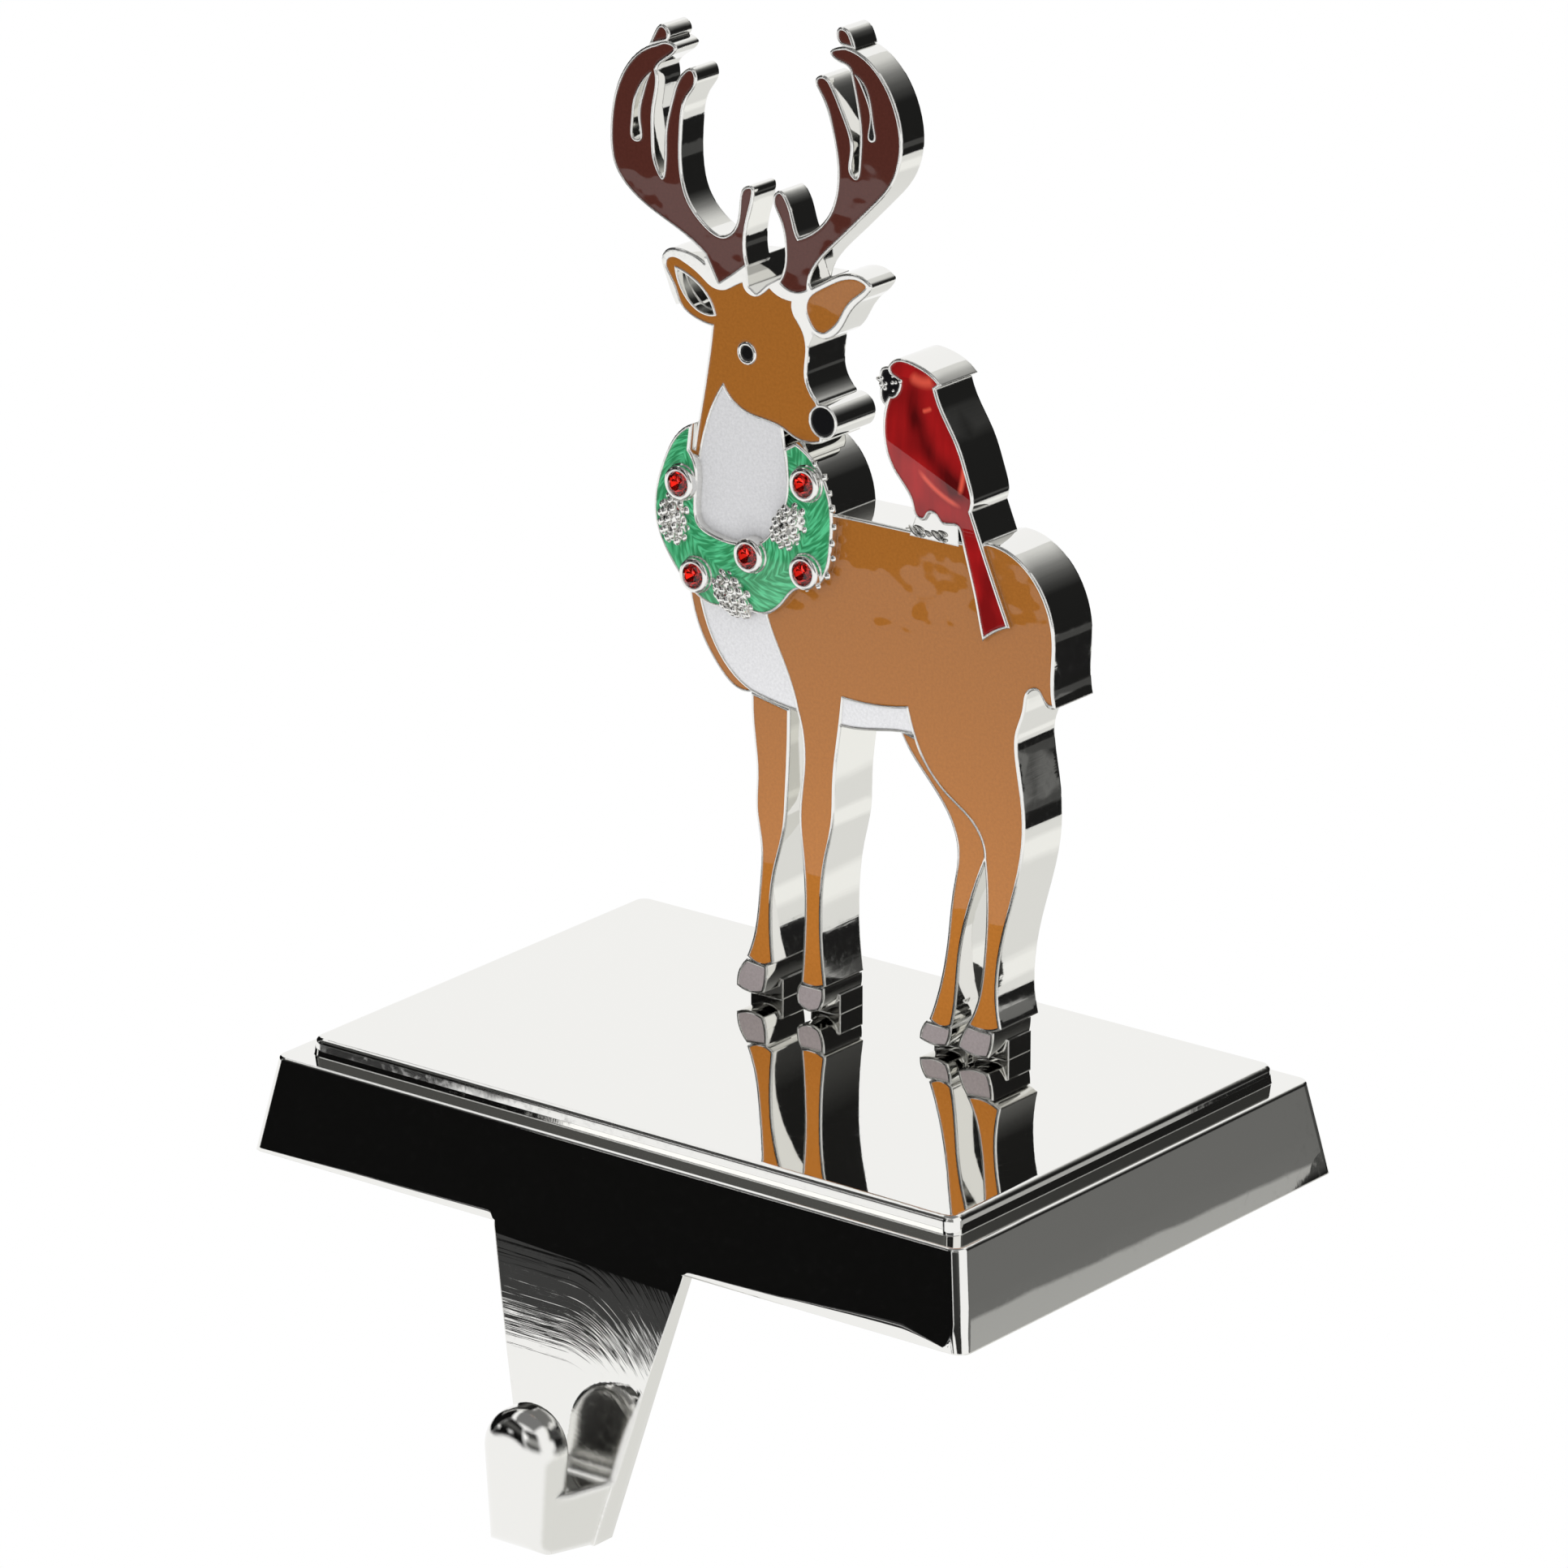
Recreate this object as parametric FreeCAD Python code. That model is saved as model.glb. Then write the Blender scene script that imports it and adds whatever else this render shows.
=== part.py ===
"""Mantel stocking holder: a plated zinc base with a cast hook, and an enamelled deer screwed on top of it.

The base stands on a shelf and its hook hangs over the shelf's front edge. The origin is the middle of the
non-slip pad's underside, X runs to the right, Y to the back, and Z up. The deer is one flat casting whose
front has shallow cells, and each cell is filled by its own enamel.
"""
import os

import FreeCAD
import Part
from FreeCAD import Vector

# Base
base_width = 110.5
base_depth = 76.5
lower_tier_height = 12.2
wall_flare = 2.2
corner_radius = 1.7
ledge_width = 3.0
upper_tier_height = 2.3
upper_tier_draft = 0.25
upper_edge_radius = 0.7
lower_edge_radius = 0.4
top_plate_thickness = 3.6
wall_thickness = 4.8

# Non-slip pad
pad_inset = 3.0
pad_thickness = 1.6
pad_proud = 0.6

# Hook
hook_x = -1.4
hook_top_width = 29.6
hook_bottom_width = 10.2
hook_drop = 36.0
hook_lean = 5.5
hook_bulge = 0.35
hook_top_thickness = 2.0
hook_bottom_thickness = 3.5
throat_drop = 27.4
throat_gap = 5.4
finger_thickness = 5.8
finger_width = 10.6
finger_foot_width = 8.8
finger_top_drop = 16.8
finger_foot_drop = 34.8
finger_front_radius = 3.2
finger_back_radius = 1.1

# Deer casting
figure_height = 127.5
figure_setback = 48.5
body_thickness = 7.8
antler_thickness = 4.5
ear_thickness = 5.0
bird_proud = 0.6
bird_thickness = 7.4
wreath_proud = 1.0
rim_width = 0.36
line_width = 0.26
rim_bevel = 0.16
cell_depth = 0.9
wreath_cell_depth = 0.7
enamel_sink = 0.12
ear_hollow_depth = 1.6
foot_setback = 3.2
foot_height = 2.6

# Ornaments of the wreath
stone_diameter = 3.1
stone_height = 1.5
bezel_diameter = 4.5
bezel_height = 0.9
bezel_edge_radius = 0.45
bezel_seat_depth = 0.9
pinecone_length = 6.6
pinecone_width = 4.6
pinecone_sink = 0.9
pinecone_ridges = 5

# Bird's beak
beak_length = 2.4
beak_root_diameter = 2.6
beak_tip_diameter = 0.4

# Round features of the face
nose_diameter = 3.7
eye_diameter = 2.0
eye_ring_diameter = 2.9

# Screws from below
screw_diameter = 2.5
screw_clearance = 0.3
screw_grip = 5.0
screw_head_diameter = 5.0
screw_head_height = 1.6
drive_width = 1.6
drive_depth = 0.9

rim_z = pad_proud
ledge_z = rim_z + lower_tier_height
base_top_z = ledge_z + upper_tier_height
cavity_z = base_top_z - top_plate_thickness
front_edge_y = -base_depth / 2
figure_y = front_edge_y + figure_setback
outer_grow = rim_width - line_width / 2


def corner(x, z):
    """A sharp point of an outline. Plain pairs between two corners lie on one smooth curve."""
    return (x, z, True)


# Outlines of the deer seen from the front, in mm to the right of the base's middle and above its top face
JAW_LINE = [corner(-18.6, 79.7), (-17.3, 78.1), (-15, 76.9), (-11.5, 76.4)]
NECK_LINE = [corner(-18.6, 79.7), (-19.9, 77.5), (-21.3, 74), (-22.2, 70.5), corner(-22.7, 66.5)]
CHEST_EDGE_LINE = [corner(-22.6, 53.6), (-21, 48.1), (-19.2, 45), (-17, 42.7), corner(-14.2, 41.1)]
SHOULDER_LINE = [corner(-12.4, 53.6), (-10.7, 48.7), (-9.2, 45.8), (-7.9, 42.9), corner(-7, 40)]
THIGH_LINE = [(10.2, 42.9), (11.2, 40.1), (13.2, 36.7), (16.2, 33.9), (19.6, 31.6), (21.3, 29.5)]

LEFT_ANTLER = [
    corner(-19.3, 92.4), corner(-20.6, 94.7), corner(-21.3, 95.9), (-28, 99.4), (-33.6, 102.6),
    (-35.3, 104.7), (-36, 109), (-35.2, 114.1), (-32.7, 118.5), corner(-29.6, 120.7), (-28.8, 121),
    (-27, 121.5), (-26, 121), (-26.4, 120.4), (-28.3, 119), corner(-29.1, 117.9), (-28.9, 116.7),
    (-29.5, 113), (-29.6, 109), (-28.9, 105.4), (-28, 104.3), (-27.6, 105.7), (-27.4, 110.3),
    (-26.3, 114.8), (-24.5, 118.2), (-23.4, 118.7), (-22.9, 117.9), (-24.2, 115.3), (-25.2, 111.5),
    (-25.3, 106.5), (-24.3, 102.5), (-21.8, 99.7), (-18.4, 98.5), (-17, 99.4), (-15.9, 103.1),
    (-15, 105.3), (-14.2, 105.4), (-14.1, 104.5), (-15, 101.1), (-15.4, 97.9), corner(-15, 95.6),
    corner(-17.2, 93.9),
]
LEFT_ANTLER_TIP = [corner(-29.8, 121.1), (-29, 122.5), (-28, 123.5), (-27.3, 123.1), corner(-27.4, 121.9)]
LEFT_ANTLER_SLOT = [
    corner(-29.8, 117.4), (-31.1, 115.8), (-32.3, 113.1), (-32.6, 110.6), (-32.3, 108.6),
    (-31.8, 108.6), (-31.7, 111.1), (-31.2, 114.4),
]
RIGHT_ANTLER = [
    corner(-9.9, 94.3), (-7.9, 93.4), corner(-5.5, 94.1), (-5.4, 95.5), (-4.4, 97.5), (-1, 101.1),
    (4, 106), (7.2, 109.7), (8.5, 113.9), (7.9, 118.1), (5.8, 122), (2.8, 124.5), corner(0.4, 125.2),
    (-0.9, 125), (-2, 124.3), (-1.2, 123.7), (0.5, 123.2), corner(1.1, 122.5), (1.8, 119.7),
    (2.5, 115.9), (2.4, 111.3), (1.7, 109.3), (1.2, 109.6), (1.1, 112.5), (0, 116.5), (-1.7, 119.7),
    (-3.4, 121.1), (-4.2, 120.6), (-3.6, 119.2), (-1.9, 115.5), (-1, 111.5), (-1, 107.3),
    (-2.3, 103.8), (-4.7, 101.4), corner(-7, 100.2), (-7.9, 102.3), (-8.9, 104.8), (-9.9, 105.6),
    (-10.6, 105), (-9.8, 102.5), (-8.9, 99.3), (-9, 96.3),
]
RIGHT_ANTLER_TIP = [
    corner(-0.2, 125.7), (-1, 126.5), (-0.8, 127.4), (0, 127.5), (1, 126.4), corner(1.3, 125.6),
]
RIGHT_ANTLER_GROOVE = [
    corner(1.5, 122.3), (2.9, 121.4), (4.1, 118.5), (4.5, 116.1), (4.4, 114.3), (4, 114.3), (3.9, 116.5),
    (3.2, 119.7),
]
CROWN = [
    corner(-20.8, 91.5), corner(-21.5, 95.5), corner(-15, 96.1), corner(-14.6, 93), corner(-13.4, 92.2),
    corner(-11.8, 93.7), corner(-10, 94.8), corner(-5.2, 94.9), corner(-4.6, 93.8), corner(-5.9, 92.2),
    corner(-5.4, 90), corner(-4.6, 88.6), corner(-5.4, 86.9), corner(-8, 88),
]
HEAD = [
    corner(-20.2, 87), (-22.9, 87.5), (-25.1, 88.8), (-26.4, 91.5), (-27.5, 94), (-26.9, 94.6),
    (-24.6, 94.4), (-22, 93.1), (-20.2, 92), (-18.3, 92), (-16.6, 92.9), corner(-15.4, 93.5),
    (-14.8, 92.3), (-13.6, 92), (-12.4, 92.6), corner(-11.4, 93.5), (-10.3, 92.8), corner(-7.8, 92.4),
    (-7.6, 90.7), (-6.3, 88.9), (-5.7, 86.5), (-5.9, 83), (-4.9, 80.8), corner(-4.2, 80.1),
    corner(-3.2, 77.8), corner(-3.6, 75.2), (-5.6, 74.8), corner(-8.7, 75.6), *reversed(JAW_LINE),
    *NECK_LINE[1:], corner(-23.3, 66.5), (-23.1, 70), (-22, 76.1), (-21, 81.5),
]
EAR_LEAF = [
    corner(-25.8, 93.2), (-23.3, 92.3), (-21.2, 90.7), corner(-20, 88.5), (-22.3, 88.6), (-24.2, 89.9),
]
LEFT_EAR_RIM = [
    corner(-19.3, 92.2), (-20.9, 94.1), (-23.2, 95.3), (-25, 95.6), (-27.3, 95.2), (-28, 94.2),
    (-27.5, 92.4), (-26.7, 90.4), corner(-25.9, 88.9), corner(-22, 90),
]
RIGHT_EAR = [
    (3.4, 96.3), (1.8, 96.8), (-0.2, 96.4), (-3.4, 94.7), (-5.4, 93.1), (-5.8, 91.9), (-5.4, 90.5),
    (-4.3, 89.2), (-3.2, 89), (-2.1, 89.6), (-0.9, 90.8), (0.2, 92.7), (1.4, 94.1), (3, 95.4),
]
RIGHT_EAR_RIM = [
    (4, 96.5), (2.2, 97.3), (-0.4, 97), (-3.4, 95.4), (-5.2, 94.3), (-6.5, 93), (-6.9, 91.7),
    (-6.4, 90.3), (-5, 88.9), (-3.2, 88.3), (-1.6, 88.9), (-0.2, 90.4), (0.9, 92.3), (2.1, 93.7),
    (3.6, 95.1),
]
THROAT = [
    *JAW_LINE, corner(-9.6, 76), (-9, 72.5), (-8.5, 68.5), (-8.9, 64), (-10.4, 60.9), (-12.4, 58.7),
    (-15.5, 57.7), (-20.5, 58), (-22.6, 59.1), (-23.1, 62.5), *reversed(NECK_LINE[1:]),
]
CHEST_EDGE = [
    corner(-24, 53.6), *CHEST_EDGE_LINE, (-16.6, 41.1), (-19.6, 43.5), (-22.2, 47.3),
]
CHEST = [*SHOULDER_LINE, (-10, 40.3), *reversed(CHEST_EDGE_LINE)]
BODY = [
    *reversed(SHOULDER_LINE), (-7, 57.5), (-4.2, 60), (-3.2, 63), corner(-3, 66.2), (10, 66.4),
    corner(18.6, 66.4), corner(22, 67.1), (25.2, 66.5), (28.5, 64.3), (30.8, 60.9), (31.8, 57.1),
    (31.7, 52.5), corner(32, 48.5), (30.6, 49), (29.6, 50.2), (28.4, 49.9), (27.5, 47.1), (26.5, 44.1),
    (26.5, 40.5), (27.4, 35.1), (27.5, 29.7), (26, 22.5), (24.5, 17), (23.7, 12), (23.7, 8.3),
    corner(24.2, 5.3), (22, 4.6), corner(19.6, 4.8), (21, 7.9), (21.9, 13), (22.3, 20), (22.2, 24.1),
    corner(21.9, 26.9), *reversed(THIGH_LINE), corner(9.9, 43.9), (4.5, 43.1), corner(-0.1, 43.1),
    (-0.6, 39), (-1.5, 31.5), (-1.7, 26.5), (-2.8, 21.5), (-3.5, 15), (-3.4, 9.5), corner(-2.9, 4.8),
    (-4.6, 4.3), corner(-6.3, 4.5), (-5.9, 9.5), (-6.1, 21), (-6.6, 26), (-6, 33), (-6.3, 37.5),
]
BELLY = [
    corner(-0.1, 43.1), (4.5, 43.1), corner(9.9, 43.9), (10.3, 42.4), corner(10.9, 40.7), (7, 40.4),
    (3, 39.7), corner(-0.4, 39.5),
]
FAR_FRONT_LEG = [
    corner(-14.1, 40.7), (-13.9, 36.5), (-13.3, 30.3), (-13.4, 25.7), (-12.7, 21.5), (-12.9, 15.5),
    (-13.6, 9.7), corner(-14.8, 6.1), (-12.9, 5.4), corner(-11.1, 6), (-11.4, 10.5), (-10.9, 17.7),
    (-9.3, 23.9), (-8.9, 28.5), (-8.6, 34.5), corner(-8.5, 39.7),
]
FAR_REAR_LEG = [
    corner(9, 40.6), (12.5, 36.1), (16.4, 31.4), (17.8, 27.5), (17.2, 21.9), (16.4, 15.1), (15.1, 8.3),
    corner(13.7, 4.2), (15.4, 3.6), corner(16.8, 4.1), (17.4, 7.5), (17.9, 13.3), (19.6, 20.7),
    corner(21.9, 26.9), *reversed(THIGH_LINE[2:]), corner(11.2, 40.1),
]
BIRD = [
    corner(7.4, 86.9), (8.6, 87.9), (11.2, 87.8), (13.7, 86.9), corner(14.9, 86), corner(14.1, 85.4),
    (15.3, 82.6), (17.6, 78.9), (19.3, 74.6), (19.9, 71.9), corner(19.6, 70.9), (22.7, 63.6),
    corner(25.4, 57.5), (23.9, 56.8), corner(21.8, 55.3), (20.6, 60.3), (18.6, 67.2), (17.8, 68.8),
    (16.6, 68.8), (15.4, 68.8), (14.6, 69.6), (13.4, 69.7), (12.6, 68.7), (11.8, 68.8), (11, 70.5),
    (10, 72.1), (8, 74.4), (6.8, 77.5), (6.8, 80.9), corner(7.5, 83.1), (9, 84.4), (9, 85.5), (7.9, 86),
]
BIRD_MASK = [
    corner(7.5, 83.1), (9, 84.4), (9, 85.5), (7.9, 86), corner(7.4, 86.7), (6.4, 86.4),
    corner(6.1, 85.1), corner(6.6, 84.4), corner(6.2, 83.9), (6.3, 82.7), corner(6.8, 82.1),
]
BIRD_LEGS = [corner(10.2, 66), corner(11.6, 70), corner(17.4, 70), corner(17.6, 66)]
BEAK_ROOT = (7, 84.7)
WREATH = [
    corner(-23, 73.8), (-25, 72.3), (-26.9, 69.1), (-28.3, 64.9), (-28.3, 60.5), (-26.3, 56.5),
    (-23.1, 53.1), (-19.3, 51.5), (-15.7, 52.1), (-11.9, 51.9), (-8.9, 53.7), (-6.9, 55.9), (-3.1, 57.5),
    (-1.7, 60.1), (-1.2, 63.9), (-1.3, 67.5), (-2.5, 70.9), corner(-6.6, 74.5), corner(-8.2, 73.5),
    (-7.8, 68.9), (-8.2, 66.4), (-9.7, 63.3), (-11.7, 61.1), (-14.8, 60.1), (-19.8, 60.4), (-21.9, 61.5),
    (-22.4, 63.9), (-22.2, 67.9), corner(-23.4, 70.7),
]
HOOVES = {
    "far_front": [
        corner(-15, 5.4), (-16.2, 3.7), corner(-16.5, 1.9), (-14.6, 1.4), corner(-12.6, 1.8),
        (-12.2, 3.3), corner(-12.1, 5.1),
    ],
    "near_front": [
        corner(-6.5, 4.1), (-7, 2.7), corner(-6.9, 1.7), (-5.2, 1), corner(-3.7, 1.5), (-3.2, 2.7),
        corner(-3.1, 4.1),
    ],
    "far_rear": [
        corner(13.1, 3.6), (12.4, 2.5), corner(12.2, 1.4), (14.3, 1), corner(16.1, 1.3), (16.5, 2.3),
        corner(16.7, 3.5),
    ],
    "near_rear": [
        corner(19.4, 4.4), (18.6, 3.1), corner(18.1, 1.6), (20.4, 1), corner(22.4, 1.2), (22.9, 2.6),
        corner(23.1, 4.2),
    ],
}
NOSE_CENTRE = (-3.2, 77.8)
EYE_CENTRE = (-14.9, 84.4)
STONE_CENTRES = [(-24.3, 66.4), (-22, 54.9), (-13.5, 59.1), (-4.9, 58.6), (-4.8, 69.9)]
PINECONES = [(-25.6, 61.4, 90), (-7.7, 63.8, 55), (-16.5, 53.4, -40)]
SCREWED_HOOVES = ("far_front", "near_rear")

drawn_height = max(point[1] for point in RIGHT_ANTLER_TIP)
figure_scale = figure_height / drawn_height


def drawn(size):
    """A size of an ornament on the figure, which grows with the figure's outlines."""
    return size * figure_scale


def smooth_runs(points):
    """Splits an outline at its corners. Each run is a list of vectors that begins and ends at a corner."""
    vectors = [Vector(p[0], 0, p[1]) * figure_scale for p in points]
    corners = [i for i, p in enumerate(points) if len(p) == 3]
    if not corners:
        return [vectors + vectors[:1]]
    turns = corners + [corners[0] + len(points)]
    return [
        [vectors[k % len(points)] for k in range(start, end + 1)]
        for start, end in zip(turns, turns[1:])
    ]


def tangents(run, closed):
    """Unit directions of a smooth run at its points."""
    chords = [(b - a).normalize() for a, b in zip(run, run[1:])]
    inner = [(a + b).normalize() for a, b in zip(chords, chords[1:])]
    if closed:
        seam = (chords[-1] + chords[0]).normalize()
        return [seam] + inner + [seam]
    if not inner:
        return [chords[0], chords[0]]
    first = chords[0] * 2 * chords[0].dot(inner[0]) - inner[0]
    last = chords[-1] * 2 * chords[-1].dot(inner[-1]) - inner[-1]
    return [first] + inner + [last]


def turns_left(points):
    """True if the outline runs anticlockwise as it is seen from the front."""
    pairs = zip(points, points[1:] + points[:1])
    return sum(a[0] * b[1] - b[0] * a[1] for a, b in pairs) > 0


def mitre(before, after):
    """Outward shift of a corner for a unit of growth, from the normals on its two sides."""
    return (before + after) * (1 / max(1 + before.dot(after), 0.4))


def outline_wire(points, grow=0.0):
    """Closed wire of an outline that is moved outward by grow, or inward if it is negative."""
    side = 1 if turns_left(points) else -1
    runs = smooth_runs(points)
    closed = len(runs) == 1 and all(len(p) == 2 for p in points)
    normals = [[Vector(t.z, 0, -t.x) * side for t in tangents(run, closed)] for run in runs]
    shifts = [list(normal) for normal in normals]
    if not closed:
        for k in range(len(runs)):
            joint = mitre(normals[k - 1][-1], normals[k][0])
            shifts[k - 1][-1] = joint
            shifts[k][0] = joint
    edges = []
    for run, shift in zip(runs, shifts):
        moved = [point + step * grow for point, step in zip(run, shift)]
        if len(moved) == 2:
            edges.append(Part.LineSegment(moved[0], moved[1]).toShape())
            continue
        curve = Part.BSplineCurve()
        if closed:
            curve.interpolate(moved[:-1], PeriodicFlag=True)
        else:
            curve.interpolate(moved)
        edges.append(curve.toShape())
    return Part.Wire(edges)


def area(points, grow=0.0):
    """Flat face inside an outline."""
    return Part.Face(outline_wire(points, grow))


def disc(centre, diameter, grow=0.0):
    """Flat round face at a place of the figure, moved outward by grow."""
    middle = Vector(centre[0], 0, centre[1]) * figure_scale
    circle = Part.makeCircle(drawn(diameter) / 2 + grow, middle, Vector(0, 1, 0))
    return Part.Face(Part.Wire([circle]))


def joined(faces):
    """One flat shape from faces that overlap."""
    return faces[0].multiFuse(faces[1:]).removeSplitter()


def slab(flat, front, back):
    """Solid over a flat shape, from the depth front to the depth back behind the figure's face."""
    solids = []
    for face in flat.Faces:
        solid = face.extrude(Vector(0, back - front, 0))
        solid.translate(Vector(0, front, 0))
        solids.append(solid)
    return solids[0] if len(solids) == 1 else solids[0].multiFuse(solids[1:])


def bevelled(points, grow, front, back):
    """The two solids of a slab over a grown outline: a lip with a bevelled front edge, and the rest."""
    def level(size, depth):
        wire = outline_wire(points, size)
        wire.translate(Vector(0, depth, 0))
        return wire

    lip = Part.makeLoft([level(grow - rim_bevel, front), level(grow, front + rim_bevel)], True, True)
    return [lip, slab(area(points, grow), front + rim_bevel, back)]


def on_base(shape):
    """Moves a shape of the figure from its own frame to its place on the base."""
    moved = shape.copy()
    moved.translate(Vector(0, figure_y, base_top_z))
    return moved


def rounded_rectangle(width, depth, radius, z):
    """Wire of a rectangle with round corners about the Z axis."""
    x = width / 2 - radius
    y = depth / 2 - radius
    edges = []
    for number, (cx, cy) in enumerate([(x, y), (-x, y), (-x, -y), (x, -y)]):
        middle = Vector(cx, cy, z)
        edges.append(Part.makeCircle(radius, middle, Vector(0, 0, 1), number * 90, number * 90 + 90))
    sides = []
    for edge, following in zip(edges, edges[1:] + edges[:1]):
        sides.append(Part.makeLine(edge.lastVertex().Point, following.firstVertex().Point))
    return Part.Wire([edge for pair in zip(edges, sides) for edge in pair])


def tier(width, depth, radius, bottom_z, height, taper):
    """Block with round corners whose walls lean in by taper on each side."""
    foot = rounded_rectangle(width, depth, radius, bottom_z)
    head = rounded_rectangle(width - 2 * taper, depth - 2 * taper, radius, bottom_z + height)
    return Part.makeLoft([foot, head], True, True)


def rounded_top(solid, radius):
    """The block with its top edge rounded."""
    top_z = solid.BoundBox.ZMax
    edges = [edge for edge in solid.Edges if edge.BoundBox.ZMin > top_z - 0.001]
    return solid.makeFillet(radius, edges)


def plate_front(drop):
    """How far the plate's front face stands in front of the base's front edge at a drop below the rim."""
    share = drop / hook_drop
    return hook_lean * share + 4 * hook_bulge * share * (1 - share)


def hook_plate():
    """Tapered plate that carries on the line of the front wall in a slow curve, down to the hook's bottom."""
    def at(drop, set_back):
        return Vector(0, front_edge_y - plate_front(drop) + set_back, rim_z - drop)

    face = Part.Arc(at(0, 0), at(hook_drop / 2, 0), at(hook_drop, 0)).toShape()
    rear_top = at(0, hook_top_thickness)
    rear_bottom = at(hook_drop, hook_bottom_thickness)
    side = Part.Wire([
        face,
        Part.makeLine(at(hook_drop, 0), rear_bottom),
        Part.makeLine(rear_bottom, rear_top),
        Part.makeLine(rear_top, at(0, 0)),
    ])
    side.translate(Vector(hook_x - hook_top_width / 2, 0, 0))
    wide = Part.Face(side).extrude(Vector(hook_top_width, 0, 0))
    taper = [
        (hook_x - hook_top_width / 2, rim_z), (hook_x + hook_top_width / 2, rim_z),
        (hook_x + hook_bottom_width / 2, rim_z - hook_drop), (hook_x - hook_bottom_width / 2, rim_z - hook_drop),
    ]
    front = Part.makePolygon([Vector(x, front_edge_y - 2 * hook_lean, z) for x, z in taper + taper[:1]])
    return wide.common(Part.Face(front).extrude(Vector(0, base_depth / 2, 0)))


def plate_half_width(drop):
    """Half of the plate's width at a drop below the rim."""
    share = drop / hook_drop
    return (hook_top_width + (hook_bottom_width - hook_top_width) * share) / 2


def finger_half_width(drop):
    """Half of the finger's width at a drop below the rim, under its dome."""
    dome_drop = finger_top_drop + finger_width / 2
    share = (drop - dome_drop) / (finger_foot_drop - dome_drop)
    return (finger_width + (finger_foot_width - finger_width) * share) / 2


def hook_floor():
    """Bridge under the throat, from the plate's width to the finger's."""
    def section(front, top_half, bottom_half, bottom_drop):
        y = front_edge_y - front
        top_z = rim_z - throat_drop
        bottom_z = rim_z - bottom_drop
        corners = [
            (hook_x - top_half, top_z), (hook_x + top_half, top_z),
            (hook_x + bottom_half, bottom_z), (hook_x - bottom_half, bottom_z),
        ]
        return Part.makePolygon([Vector(cx, y, cz) for cx, cz in corners + corners[:1]])

    at_plate = section(
        hook_lean - hook_bottom_thickness / 2,
        plate_half_width(throat_drop), plate_half_width(hook_drop), hook_drop,
    )
    at_finger = section(
        plate_front(throat_drop) + throat_gap + finger_thickness / 2,
        finger_half_width(throat_drop), finger_half_width(finger_foot_drop), finger_foot_drop,
    )
    return Part.makeLoft([at_plate, at_finger], True, True)


def hook_finger():
    """Upright finger with a domed top, rounded on its front and back edges."""
    back_y = front_edge_y - plate_front(throat_drop) - throat_gap
    half = finger_width / 2
    foot_half = finger_foot_width / 2
    dome_z = rim_z - finger_top_drop - half
    foot_z = rim_z - finger_foot_drop
    left = Vector(hook_x - half, back_y, dome_z)
    right = Vector(hook_x + half, back_y, dome_z)
    crest = Vector(hook_x, back_y, dome_z + half)
    foot_left = Vector(hook_x - foot_half, back_y, foot_z)
    foot_right = Vector(hook_x + foot_half, back_y, foot_z)
    wire = Part.Wire([
        Part.Arc(left, crest, right).toShape(),
        Part.makeLine(right, foot_right),
        Part.makeLine(foot_right, foot_left),
        Part.makeLine(foot_left, left),
    ])
    finger = Part.Face(wire).extrude(Vector(0, -finger_thickness, 0))
    front_y = back_y - finger_thickness
    front_edges = [edge for edge in finger.Edges if edge.BoundBox.YMax < front_y + 0.001]
    finger = finger.makeFillet(finger_front_radius, front_edges)
    back_edges = [
        edge for edge in finger.Edges
        if edge.BoundBox.YMin > back_y - 0.001 and edge.BoundBox.ZMax > dome_z - 0.001
    ]
    return finger.makeFillet(finger_back_radius, back_edges)


def screw_centres():
    """Where the two screws enter the deer's feet."""
    centres = []
    for name in SCREWED_HOOVES:
        box = outline_wire(HOOVES[name]).BoundBox
        depth = (foot_setback + body_thickness) / 2
        centres.append(Vector((box.XMin + box.XMax) / 2, figure_y + depth, 0))
    return centres


def base_with_hook():
    """Hollow two-tier base, open below, cast in one piece with its hook."""
    lower = tier(base_width, base_depth, corner_radius, rim_z, lower_tier_height, wall_flare)
    lower = rounded_top(lower, lower_edge_radius)
    inset = wall_flare + ledge_width
    upper = tier(
        base_width - 2 * inset, base_depth - 2 * inset, corner_radius,
        ledge_z - lower_edge_radius, upper_tier_height + lower_edge_radius, upper_tier_draft,
    )
    upper = rounded_top(upper, upper_edge_radius)
    cavity = tier(
        base_width - 2 * wall_thickness, base_depth - 2 * wall_thickness, corner_radius,
        rim_z, cavity_z - rim_z, 0,
    )
    pad_seat = tier(
        base_width - 2 * pad_inset, base_depth - 2 * pad_inset, corner_radius,
        rim_z, pad_thickness - pad_proud, 0,
    )
    solid = lower.multiFuse([upper, hook_plate(), hook_floor(), hook_finger()])
    holes = [
        Part.makeCylinder((screw_diameter + screw_clearance) / 2, base_top_z, centre)
        for centre in screw_centres()
    ]
    return solid.cut([cavity, pad_seat] + holes).removeSplitter()


def non_slip_pad():
    """Flat pad that is glued into the step around the base's open underside."""
    return tier(
        base_width - 2 * pad_inset, base_depth - 2 * pad_inset, corner_radius, 0, pad_thickness, 0,
    )


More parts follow.
